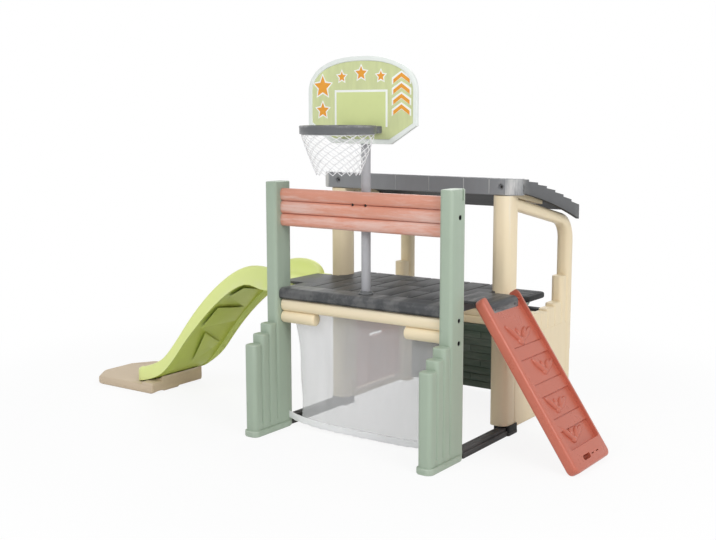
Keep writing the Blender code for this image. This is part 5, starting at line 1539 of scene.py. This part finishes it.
class PLAYHOUSE_OT_ramp(bpy.types.Operator):
    """Make the climbing ramp: a deep tray with round rails, lapped boards, grips and a slot"""

    bl_idname = "playhouse.ramp"
    bl_label = "Climbing ramp"

    def tray(self):
        """Return the tray with its boards and grips, laid flat along x."""
        front, rear = BAY_FRONT, RAMP_REAR
        shape = bmesh.new()
        block(shape, (0, front, 0), (RAMP_LENGTH + 0.010, rear, RAMP_THICK), rim=0.012, corner=0.030, steps=4)
        tool = bmesh.new()
        block(
            tool, (-0.06, front + RAMP_RAIL, RAMP_FLOOR),
            (RAMP_LENGTH - RAMP_PAD, rear - RAMP_FAR_RAIL, RAMP_THICK * 2), rim=0.0, corner=0.014)
        shape = carve(shape, tool)
        inner_front, inner_rear = front + RAMP_RAIL - 0.004, rear - RAMP_FAR_RAIL + 0.004
        bottom = RAMP_FLOOR - BOARD_SINK
        for index, (start, end) in enumerate(zip(BOARD_STOPS, BOARD_STOPS[1:])):
            tall = RAMP_FLOOR + BOARD_STANDS[index % 2]
            first, last = start + BOARD_GAP, end - BOARD_GAP
            outline = [(first, bottom), (last, bottom), (last, tall + BOARD_LAP), (first, tall)]
            slab(shape, outline, "Y", inner_front, inner_rear, rim=0.0015, steps=2, corner=0.0018)
        for x, y, size in HOLDS:
            grip(shape, x, y, RAMP_FLOOR + 0.002, size)
        block(
            shape, (0.004, rear - 0.050, RAMP_FLOOR - 0.004), (0.050, rear - 0.002, RAMP_THICK),
            rim=0.012, corner=0.020)
        return shape

    def execute(self, context):
        down = (RAMP_FOOT - RAMP_PLACE).normalized()
        across = Vector((0, 1, 0))
        turn = Matrix((down, across, down.cross(across))).transposed().to_4x4()
        place = Matrix.Translation(RAMP_PLACE) @ turn
        shape = self.tray()
        bmesh.ops.transform(shape, matrix=place, verts=shape.verts)
        tool = bmesh.new()
        block(tool, (0, -0.2, -0.2), (1.4, 0.8, 0), rim=0.0)
        block(
            tool, (0.3, BAY_FRONT + RAMP_RAIL - 0.001, DECK_TOP - HOOK - GAP),
            (0.62, RAMP_REAR - RAMP_FAR_RAIL + 0.001, 0.9), rim=0.0)
        slit = bmesh.new()
        slot_x, slot_y = RAMP_LENGTH - RAMP_SLOT[0], BAY_FRONT + RAMP_SLOT[1]
        cuts = [(slot_y, RAMP_SLOT_HALF, 0.0105)] + [(y, RAMP_SLIT_HALF, 0.0022) for y in RAMP_SLITS]
        for y, (half_x, half_y), corner in cuts:
            first, last = (slot_x - half_x, y - half_y, -0.1), (slot_x + half_x, y + half_y, 0.1)
            block(slit, first, last, rim=0.0, corner=corner)
        add(tool, slit, place)
        shape = carve(shape, tool)
        new_piece("ramp_moulding", shape, "finish_ramp", ("climbing_ramp",), bevel=0.0025)
        return {"FINISHED"}


# Basketball hoop

POLE_Y = (low("pole_upper").y + high("pole_upper").y) / 2
POLE_RADIUS = 0.0215
POLE_STEPS = 56
POLE_START = DECK_TOP + 0.0033
POLE_JOINT = high("pole_lower").z
# The raised band above the joint of the two tubes: its start, its end and how far it stands out
POLE_BAND = (0.002, 0.006)
POLE_BAND_STAND = 0.0006
# The two rounds of the pole's foot: height and radius
FLANGE_ROUNDS = ((0.008, 0.034), (0.018, 0.0275))
BOARD_FACE = low("backboard").y
BOARD_FIELD = BOARD_FACE + 0.004
BOARD_HALF = high("backboard").x
BOARD_TOP = high("backboard").z
# The board's outline: half its flat lower edge, its lower side corner and where its arch starts
BOARD_FLAT = 0.160
BOARD_CORNER = 1.455
BOARD_ARCH = 1.600
BOARD_ARCH_STEPS = 32
BOARD_ARCH_POWERS = (0.85, 0.9)
BOARD_BORDER = 0.020
BOARD_FIELD_INSET = 0.0215
PRINT_LAYER = 0.0004
# The printed frame: left, right, lower and upper edge, and the width of its band
PRINT_FRAME = (-0.145, 0.140, 1.448, 1.610)
PRINT_BAND = 0.010
# The printed stars: x, z and radius, and how far their white border reaches out
STARS = (
    (-0.212, 1.625, 0.050), (-0.212, 1.520, 0.036), (0.0, 1.682, 0.032), (0.105, 1.668, 0.024),
    (-0.105, 1.668, 0.024))
STAR_POINTS = 5
STAR_WAIST = 0.46
STAR_BORDER = 0.010
STAR_BORDER_WAIST = 0.52
CHEVRONS = ((0.212, 1.500), (0.212, 1.545), (0.212, 1.590), (0.212, 1.635))
# Half width, height and thickness of a chevron and of its white border, and the border's drop
CHEVRON_SIZE = (0.042, 0.028, 0.018)
CHEVRON_BORDER = (0.050, 0.030, 0.030)
CHEVRON_DROP = 0.005
HOOP_OUTER = 0.168
HOOP_INNER = HOOP_OUTER - 0.016
HOOP_CENTRE_Y = low("hoop_ring").y + HOOP_OUTER
HOOP_STEPS = 72
RING_LOW, RING_HIGH = low("hoop_ring").z, high("hoop_ring").z
# The section of the ring from its lower inner edge, with a lip around its top
RING_PROFILE = (
    (HOOP_INNER, RING_LOW), (HOOP_OUTER - 0.003, RING_LOW), (HOOP_OUTER - 0.0012, RING_LOW + 0.002),
    (HOOP_OUTER - 0.0012, RING_HIGH - 0.011), (HOOP_OUTER, RING_HIGH - 0.009),
    (HOOP_OUTER, RING_HIGH - 0.003), (HOOP_OUTER - 0.003, RING_HIGH), (HOOP_INNER + 0.002, RING_HIGH),
    (HOOP_INNER, RING_HIGH - 0.002))
# The bracket behind the ring: where it starts, half its width there and at the board, and its bolts
BRACKET_START = HOOP_CENTRE_Y + 0.130
BRACKET_END = high("hoop_ring").y
BRACKET_HALF = (0.090, 0.110)
BOLT_X = 0.098
BOLT_RISE = 0.016
BOLT_RADIUS = 0.006
# The hoop's net: its cords, and its reach from the middle at its top and bottom
NET_MESHES = 16
NET_ROWS = 10
NET_TOP = RING_LOW - 0.0022
NET_DROP = 0.172
NET_REACH = (0.158, 0.095)
NET_TAPER = 1.15
NET_CORD_IN = 0.0006
NET_CORD_SAG = 0.0016
NET_HANG_REACH = 0.1575
NET_HANG_RADIUS = 0.002
KNOT_RADIUS = 0.0029


class PLAYHOUSE_OT_pole(bpy.types.Operator):
    """Make the two tubes of the pole, its foot and its clamps"""

    bl_idname = "playhouse.pole"
    bl_label = "Pole"

    def execute(self, context):
        def tube(shape, start, end, radius, rim, segments):
            rod(shape, (0, POLE_Y, start), (0, POLE_Y, end), radius, rim=rim, segments=segments)

        shape = bmesh.new()
        tube(shape, POLE_START, POLE_JOINT, POLE_RADIUS, 0.001, POLE_STEPS)
        new_piece("pole_tube_lower", shape, "finish_tube", ("pole_lower",))
        shape = bmesh.new()
        tube(shape, POLE_JOINT + GAP, high("pole_upper").z, POLE_RADIUS, 0.001, POLE_STEPS)
        band_low, band_high = [POLE_JOINT + rise for rise in POLE_BAND]
        tube(shape, band_low, band_high, POLE_RADIUS + POLE_BAND_STAND, 0.0005, POLE_STEPS)
        new_piece("pole_tube_upper", shape, "finish_tube", ("pole_upper",))
        shape = bmesh.new()
        bottom = low("pole_foot").z
        for tall, radius in FLANGE_ROUNDS:
            tube(shape, bottom, bottom + tall, radius, 0.003, 48)
        new_piece("pole_flange", shape, "finish_hoop", ("pole_foot",))
        for node in ("pole_clamp", "board_strap"):
            new_piece(f"{node}_moulding", copy_node(node), "finish_hoop", (node,), bevel=0.002)
        return {"FINISHED"}


def board_outline(inset):
    """The outline of the backboard as x and z, drawn in by an inset."""
    half = BOARD_HALF - inset
    flat = BOARD_FLAT - inset / 2
    bottom = low("backboard").z + inset
    rise = BOARD_TOP - inset - BOARD_ARCH
    corner = BOARD_CORNER + inset / 2
    power_x, power_z = BOARD_ARCH_POWERS
    outline = [(-flat, bottom), (flat, bottom), (half, corner)]
    for step in range(BOARD_ARCH_STEPS + 1):
        angle = math.pi * step / BOARD_ARCH_STEPS
        across = math.copysign(abs(math.cos(angle)) ** power_x, math.cos(angle))
        outline.append((half * across, BOARD_ARCH + rise * math.sin(angle) ** power_z))
    return outline + [(-half, corner)]


def rectangle(left, right, bottom, top):
    """The outline of a rectangle."""
    return [(left, bottom), (right, bottom), (right, top), (left, top)]


def star(x, z, radius, waist):
    """The outline of a star. Its waist is the share of the radius between two points."""
    outline = []
    for step in range(STAR_POINTS * 2):
        reach = radius * waist if step % 2 else radius
        angle = math.pi / 2 + math.pi * step / STAR_POINTS
        outline.append((x + reach * math.cos(angle), z + reach * math.sin(angle)))
    return outline


def chevron(x, z, wide, tall, thick):
    """The outline of a chevron that points up."""
    return [
        (x - wide, z), (x, z + tall), (x + wide, z), (x + wide, z + thick), (x, z + tall + thick),
        (x - wide, z + thick)]


def printed(shape, outline, level):
    """Add an outline that is printed on the board. A higher level covers a lower one."""
    slab(shape, outline, "Y", BOARD_FIELD - PRINT_LAYER * (1 + level), BOARD_FIELD, rim=0.0)


class PLAYHOUSE_OT_backboard(bpy.types.Operator):
    """Make the backboard with its raised border and its printed frame, stars and chevrons"""

    bl_idname = "playhouse.backboard"
    bl_label = "Backboard"

    def execute(self, context):
        shape, tool = bmesh.new(), bmesh.new()
        slab(shape, board_outline(0.0), "Y", BOARD_FACE, high("backboard").y, rim=0.0035)
        slab(tool, board_outline(BOARD_BORDER), "Y", BOARD_FACE - BEYOND, BOARD_FIELD, rim=0.0)
        shape = carve(shape, tool)
        new_piece("board_moulding", shape, "finish_board_edge", ("backboard",), bevel=0.0012)
        shape = bmesh.new()
        outline = board_outline(BOARD_FIELD_INSET)
        slab(shape, outline, "Y", BOARD_FIELD - PRINT_LAYER, BOARD_FIELD + 0.001, rim=0.0)
        new_piece("board_print_field", shape, "finish_board_field")
        white, orange, leaf = bmesh.new(), bmesh.new(), bmesh.new()
        left, right, bottom, top = PRINT_FRAME
        printed(white, rectangle(left, right, bottom, top), 1)
        printed(leaf, rectangle(left + PRINT_BAND, right - PRINT_BAND, bottom, top - PRINT_BAND), 2)
        for x, z, radius in STARS:
            printed(white, star(x, z, radius + STAR_BORDER, STAR_BORDER_WAIST), 1)
            printed(orange, star(x, z, radius, STAR_WAIST), 2)
        for x, z in CHEVRONS:
            printed(white, chevron(x, z - CHEVRON_DROP, *CHEVRON_BORDER), 1)
            printed(orange, chevron(x, z, *CHEVRON_SIZE), 2)
        for label, shape in (("white", white), ("orange", orange), ("leaf", leaf)):
            new_piece(f"board_print_{label}", shape, f"finish_print_{label}")
        return {"FINISHED"}


def net_point(column, row):
    """Where two cords of the hoop's net cross, at a half column and a half row."""
    share = row / NET_ROWS
    wide, narrow = NET_REACH
    reach = wide + (narrow - wide) * share ** NET_TAPER
    angle = 2 * math.pi * column / (NET_MESHES * 2)
    return Vector((
        reach * math.cos(angle), HOOP_CENTRE_Y + reach * math.sin(angle), NET_TOP - NET_DROP * share))


def turned(shape, profile, steps):
    """Add a section, as reach and height, turned around the middle of the hoop."""
    sections = []
    for step in range(steps):
        angle = 2 * math.pi * step / steps
        out = Vector((math.cos(angle), math.sin(angle), 0))
        sections.append([out * reach + Vector((0, HOOP_CENTRE_Y, z)) for reach, z in profile])
    loft(shape, sections, closed=True)


class PLAYHOUSE_OT_hoop(bpy.types.Operator):
    """Make the hoop ring with its lip and bracket, and the net of knotted cords"""

    bl_idname = "playhouse.hoop"
    bl_label = "Hoop and net"

    def bracket(self, shape):
        """Add the bracket between the ring and the board, with its two bolts."""
        start_half, end_half = BRACKET_HALF
        neck = BRACKET_END - 0.010
        outline = [
            (-end_half, BRACKET_END), (end_half, BRACKET_END), (end_half, neck), (start_half, BRACKET_START),
            (-start_half, BRACKET_START), (-end_half, neck)]
        plate, tool = bmesh.new(), bmesh.new()
        slab(plate, outline, "Z", RING_LOW, RING_HIGH - 0.004)
        rod(
            tool, (0, HOOP_CENTRE_Y, RING_LOW - 0.05), (0, HOOP_CENTRE_Y, RING_HIGH + 0.05),
            HOOP_INNER + 0.001, rim=0.0, segments=HOOP_STEPS)
        add(shape, carve(plate, tool))
        for x in (-BOLT_X, BOLT_X):
            first = (x, BRACKET_END - 0.014, RING_LOW + BOLT_RISE)
            last = (x, BRACKET_END - 0.006, RING_LOW + BOLT_RISE)
            rod(shape, first, last, BOLT_RADIUS, rim=0.0015, segments=20)

    def net(self, shape):
        """Add the crossing cords, a knot at each crossing and the loop that hangs them up."""
        section = oval(sizes().cord, sizes().cord, segments=6)
        for start in range(NET_MESHES):
            for lean in (1, -1):
                path = []
                for step in range(NET_ROWS * 2 + 1):
                    row = step / 2
                    point = net_point(start * 2 + lean * row, row)
                    inward = Vector((0, HOOP_CENTRE_Y, point.z)) - point
                    if step % 2:
                        point += inward.normalized() * NET_CORD_IN + Vector((0, 0, -NET_CORD_SAG))
                    path.append(point)
                sweep(shape, path, section)
        for row in range(1, NET_ROWS + 1):
            for column in range(NET_MESHES):
                knot = bmesh.new()
                bmesh.ops.create_icosphere(knot, subdivisions=1, radius=KNOT_RADIUS)
                add(shape, knot, Matrix.Translation(net_point(column * 2 + row % 2, row)))
        section = oval(NET_HANG_RADIUS, NET_HANG_RADIUS, segments=8)
        turned(shape, [(NET_HANG_REACH + u, NET_TOP + v) for u, v in section], NET_MESHES * 4)

    def execute(self, context):
        shape = bmesh.new()
        turned(shape, RING_PROFILE, HOOP_STEPS)
        self.bracket(shape)
        new_piece("hoop_moulding", shape, "finish_hoop", ("hoop_ring",))
        shape = bmesh.new()
        self.net(shape)
        new_piece("hoop_cords", shape, "finish_cord", ("hoop_net",), crease=80)
        return {"FINISHED"}


# Goal net

SHEET_Y = -0.0305
SHEET_TOP = high("goal_net").z - 0.001
SHEET_CELLS = (110, 56)
# Half the width of the sheet at its top, how far its sides are drawn in, and where that ends
SHEET_HALF = 0.4080
SHEET_DRAWN = 0.0420
SHEET_DRAWN_AT = 0.85
SHEET_DRAWN_POWER = 1.3
# The wave along the sides of the sheet, and how far the sheet swells back
SIDE_WAVE = 0.030
SHEET_SWELL = 0.008
# The folds of the sheet: height, waves across it, waves down it and start
SHEET_FOLDS = (
    (0.0046, 9.5, 1.6, 0.6), (0.0030, 17.0, -2.6, 1.9), (0.0016, 31.0, 3.1, 0.0), (0.0040, 2.2, 5.2, 0.0))
HEM_HALF = PANEL_INNER - GAP
HEM_STEPS = 96
HEM_LOW = 0.012
HEM_RISE = 0.030
HEM_MIDDLE = 0.017
HEM_TUCK = 0.031
HEM_SECTION = oval(0.0034, 0.0168, 0.6, 16)


def hem_line(u):
    """The height of the lower edge of the hem at a share of its half length."""
    return HEM_LOW + HEM_RISE * abs(u) ** 4


def sheet_point(u, fall):
    """A point of the goal sheet at a share of its half width and a share of its height down."""
    drawn = math.sin(min(fall / SHEET_DRAWN_AT, 1.0) * math.pi / 2) ** SHEET_DRAWN_POWER
    half = SHEET_HALF - SHEET_DRAWN * drawn
    edge = SIDE_WAVE * math.sin(fall * 9.0 + u * 1.2) * fall * (1 - fall) * (1 if u < 0 else -1) * abs(u) ** 5
    bottom = hem_line(half * u / HEM_HALF) + HEM_TUCK
    swell = math.sin(math.pi * fall) ** 0.8
    fold = sum(tall * math.sin(u * across + fall * down + start) for tall, across, down, start in SHEET_FOLDS)
    fold *= swell * (0.55 + 0.45 * fall)
    return Vector((
        half * u + edge, SHEET_Y + fold + SHEET_SWELL * swell, SHEET_TOP + (bottom - SHEET_TOP) * fall))


def hem_section(u):
    """The section of the stitched hem at a share of its half length."""
    y = SHEET_Y + 0.0012 * math.sin(u * 23) + 0.0008 * math.sin(u * 41 + 1)
    z = hem_line(u) + HEM_MIDDLE + 0.0009 * math.sin(u * 57)
    return [Vector((HEM_HALF * u, y + a, z + b)) for a, b in HEM_SECTION]


class PLAYHOUSE_OT_goal_net(bpy.types.Operator):
    """Make the milky goal sheet with its soft folds, and the stitched band along its lower edge"""

    bl_idname = "playhouse.goal_net"
    bl_label = "Goal net"

    def execute(self, context):
        shape = bmesh.new()
        across, down = SHEET_CELLS
        bmesh.ops.create_grid(shape, x_segments=across, y_segments=down, size=1)
        for vert in shape.verts:
            vert.co = sheet_point(vert.co.x, (1 - vert.co.y) / 2)
        piece = new_piece("goal_sheet", shape, "finish_sheet", ("goal_net",), crease=180)
        cloth = piece.modifiers.new("Cloth", "SOLIDIFY")
        cloth.thickness = sizes().cloth
        cloth.offset = 0
        shape = bmesh.new()
        loft(shape, [hem_section(2 * step / HEM_STEPS - 1) for step in range(HEM_STEPS + 1)])
        hem = new_piece("goal_hem", shape, "finish_hem", ("net_hem",), crease=60)
        return {"FINISHED"}


# Screws

SCREW_RADIUS = 0.006
SCREW_STEPS = 28
CUP_RADIUS = 0.0110
CUP_BORE_RADIUS = 0.0095
# The two slots of a cross: half their height and half their width, and half their depth
CROSS_SLOTS = ((0.0038, 0.0009), (0.0009, 0.0038))
CROSS_DEPTH = 0.0012


class PLAYHOUSE_OT_screws(bpy.types.Operator):
    """Make the screw heads with their cross recesses, and the cups around those of the side panels"""

    bl_idname = "playhouse.screws"
    bl_label = "Screws"

    def cup(self, shape, middle, outward):
        """Add the thin cup around a screw of a side panel."""
        def place(x):
            return Vector((x * outward, middle.y, middle.z))

        wall, bore = bmesh.new(), bmesh.new()
        seat, face = PANEL_OUTER - SCREW_RECESS + 0.001, PANEL_OUTER - 0.002
        rod(wall, place(seat), place(face), CUP_RADIUS, rim=0.0, segments=SCREW_STEPS)
        rod(bore, place(seat + 0.001), place(face + 0.01), CUP_BORE_RADIUS, rim=0.0, segments=SCREW_STEPS)
        add(shape, carve(wall, bore))

    def execute(self, context):
        for node in sorted(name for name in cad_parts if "_screw_" in name):
            first, last = low(node), high(node)
            size = last - first
            middle = (first + last) / 2
            across = 0 if size.x < size.y else 1
            reach = Vector((0, 0, 0))
            reach[across] = size[across] / 2
            outward = 1 if across == 0 and middle.x > 0 else -1
            shape, tool = bmesh.new(), bmesh.new()
            rod(shape, middle - reach, middle + reach, SCREW_RADIUS, rim=0.0009, segments=SCREW_STEPS)
            if "panel" in node:
                self.cup(shape, middle, outward)
            head = middle + reach * outward
            for tall, wide in CROSS_SLOTS:
                spread = Vector((wide, wide, tall))
                spread[across] = CROSS_DEPTH
                block(tool, head - spread, head + spread, rim=0.0)
            shape = carve(shape, tool)
            new_piece(f"{node}_head", shape, "finish_screw", (node,), crease=30)
        return {"FINISHED"}


# Stage

CAMERA_PLACE = Vector((2.817, -4.0698, 1.526))
CAMERA_ACROSS = Vector((0.81711725, 0.57646778, -0.00207219))
CAMERA_UP = Vector((-0.08203954, 0.1198439, 0.98939727))
CAMERA_AHEAD = Vector((-0.57060399, 0.80828357, -0.14521967))
CAMERA_LENS = 55.15
CAMERA_SENSOR = 36
WHITE = (1, 1, 1)
BACKGROUND = 1.0
AMBIENT = 0.48
AMBIENT_COLOUR = (0.97, 0.98, 1.0)
FLOOR_COLOUR = (0.93, 0.93, 0.93)
FLOOR_WHITE = 0.88
FLOOR_FADE = (1.6, 2.8)
FLOOR_RADIUS = 16
# The lamps: name, place, size and power, and what they are aimed at
LAMPS = (
    ("key", (-1.2, -5.2, 4.6), 3.4, 115.0),
    ("fill", (4.6, -2.0, 3.6), 3.0, 135.0),
    ("rear", (-2.0, 4.2, 4.4), 3.0, 90.0),
)
LAMP_TARGET = Vector((-0.4, 0.2, 0.6))


def camera_ray_mix(tree, shown, lit):
    """Mix two shaders: the first for camera, glossy and transmission rays, the second for light."""
    path = tree.nodes.new("ShaderNodeLightPath")
    seen = math_node(tree, "MAXIMUM", path.outputs["Is Camera Ray"], path.outputs["Is Glossy Ray"])
    seen = math_node(tree, "MAXIMUM", seen, path.outputs["Is Transmission Ray"])
    mix = tree.nodes.new("ShaderNodeMixShader")
    tree.links.new(seen, mix.inputs[0])
    tree.links.new(lit, mix.inputs[1])
    tree.links.new(shown, mix.inputs[2])
    return mix.outputs[0]


def light_node(tree, kind, colour, strength):
    """Add an Emission or Background shader and return its output."""
    node = tree.nodes.new(kind)
    node.inputs["Color"].default_value = (*colour, 1)
    node.inputs["Strength"].default_value = strength
    return node.outputs[0]


def studio_floor():
    """A pale floor that keeps the shadow of the object and fades to white away from it."""
    material, tree, shader = new_material("studio_floor")
    shader.inputs["Base Color"].default_value = (*FLOOR_COLOUR, 1)
    shader.inputs["Roughness"].default_value = 0.9
    shader.inputs["Specular IOR Level"].default_value = 0.1
    reach = tree.nodes.new("ShaderNodeVectorMath")
    reach.operation = "LENGTH"
    tree.links.new(tree.nodes.new("ShaderNodeTexCoord").outputs["Object"], reach.inputs[0])
    fade = ramp_node(tree, reach.outputs["Value"], *FLOOR_FADE)
    share = math_node(tree, "MULTIPLY_ADD", fade, 1 - FLOOR_WHITE, FLOOR_WHITE)
    pale = tree.nodes.new("ShaderNodeMixShader")
    tree.links.new(share, pale.inputs[0])
    tree.links.new(shader.outputs[0], pale.inputs[1])
    tree.links.new(light_node(tree, "ShaderNodeEmission", WHITE, BACKGROUND), pale.inputs[2])
    output = tree.nodes["Material Output"]
    tree.links.new(camera_ray_mix(tree, pale.outputs[0], shader.outputs[0]), output.inputs["Surface"])
    return material


class PLAYHOUSE_OT_stage(bpy.types.Operator):
    """Make the floor, the soft lights, the pale world and the camera"""

    bl_idname = "playhouse.stage"
    bl_label = "Stage"

    def floor(self, scene):
        """Make the floor."""
        shell = bmesh.new()
        bmesh.ops.create_circle(shell, cap_ends=True, segments=64, radius=FLOOR_RADIUS)
        mesh = bpy.data.meshes.new("floor")
        shell.to_mesh(mesh)
        shell.free()
        mesh.materials.append(studio_floor())
        floor = bpy.data.objects.new("floor", mesh)
        scene.collection.objects.link(floor)

    def lights(self, scene):
        """Make the world and the lamps."""
        world = bpy.data.worlds.new("studio")
        world.use_nodes = True
        tree = world.node_tree
        tree.nodes.clear()
        shown = light_node(tree, "ShaderNodeBackground", WHITE, BACKGROUND)
        lit = light_node(tree, "ShaderNodeBackground", AMBIENT_COLOUR, AMBIENT)
        output = tree.nodes.new("ShaderNodeOutputWorld")
        tree.links.new(camera_ray_mix(tree, shown, lit), output.inputs[0])
        scene.world = world
        for name, place, size, power in LAMPS:
            lamp = bpy.data.lights.new(f"lamp_{name}", "AREA")
            lamp.shape = "DISK"
            lamp.size = size
            lamp.energy = power
            thing = bpy.data.objects.new(lamp.name, lamp)
            thing.location = ORIGIN + Vector(place)
            aim = ORIGIN + LAMP_TARGET - thing.location
            thing.rotation_euler = aim.to_track_quat("-Z", "Y").to_euler()
            scene.collection.objects.link(thing)

    def execute(self, context):
        scene = context.scene
        scene.view_settings.view_transform = "Standard"
        self.floor(scene)
        self.lights(scene)
        camera = bpy.data.cameras.new("camera")
        camera.lens = CAMERA_LENS
        camera.sensor_width = CAMERA_SENSOR
        thing = bpy.data.objects.new("camera", camera)
        turn = Matrix((CAMERA_ACROSS, CAMERA_UP, -CAMERA_AHEAD)).transposed().to_4x4()
        thing.matrix_world = Matrix.Translation(ORIGIN + CAMERA_PLACE) @ turn
        scene.collection.objects.link(thing)
        scene.camera = thing
        return {"FINISHED"}


class PLAYHOUSE_PT_panel(bpy.types.Panel):
    """The playhouse's tools"""

    bl_idname = "PLAYHOUSE_PT_panel"
    bl_label = "Playhouse"
    bl_space_type = "VIEW_3D"
    bl_region_type = "UI"
    bl_category = "Playhouse"

    def draw(self, context):
        for step in STEPS:
            self.layout.operator(step.bl_idname)
        for group in (colours(), sizes()):
            for name in group.__annotations__:
                self.layout.prop(group, name)


STEPS = (
    PLAYHOUSE_OT_stage,
    PLAYHOUSE_OT_side_panels,
    PLAYHOUSE_OT_rails,
    PLAYHOUSE_OT_floor_rails,
    PLAYHOUSE_OT_deck,
    PLAYHOUSE_OT_walls,
    PLAYHOUSE_OT_half_door,
    PLAYHOUSE_OT_rear_wall,
    PLAYHOUSE_OT_roof,
    PLAYHOUSE_OT_slide,
    PLAYHOUSE_OT_ramp,
    PLAYHOUSE_OT_pole,
    PLAYHOUSE_OT_backboard,
    PLAYHOUSE_OT_hoop,
    PLAYHOUSE_OT_goal_net,
    PLAYHOUSE_OT_screws,
)
CLASSES = (PlayhouseColours, PlayhouseSizes, *STEPS, PLAYHOUSE_PT_panel)


def register():
    """Register the classes and the settings."""
    for item in CLASSES:
        bpy.utils.register_class(item)
    bpy.types.Scene.playhouse_colours = PointerProperty(type=PlayhouseColours)
    bpy.types.Scene.playhouse_sizes = PointerProperty(type=PlayhouseSizes)


def unregister():
    """Remove the settings and the classes."""
    del bpy.types.Scene.playhouse_colours
    del bpy.types.Scene.playhouse_sizes
    for item in reversed(CLASSES):
        bpy.utils.unregister_class(item)


def main():
    """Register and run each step."""
    register()
    for step in STEPS:
        group, name = step.bl_idname.split(".")
        getattr(getattr(bpy.ops, group), name)()


if __name__ == "__main__":
    main()
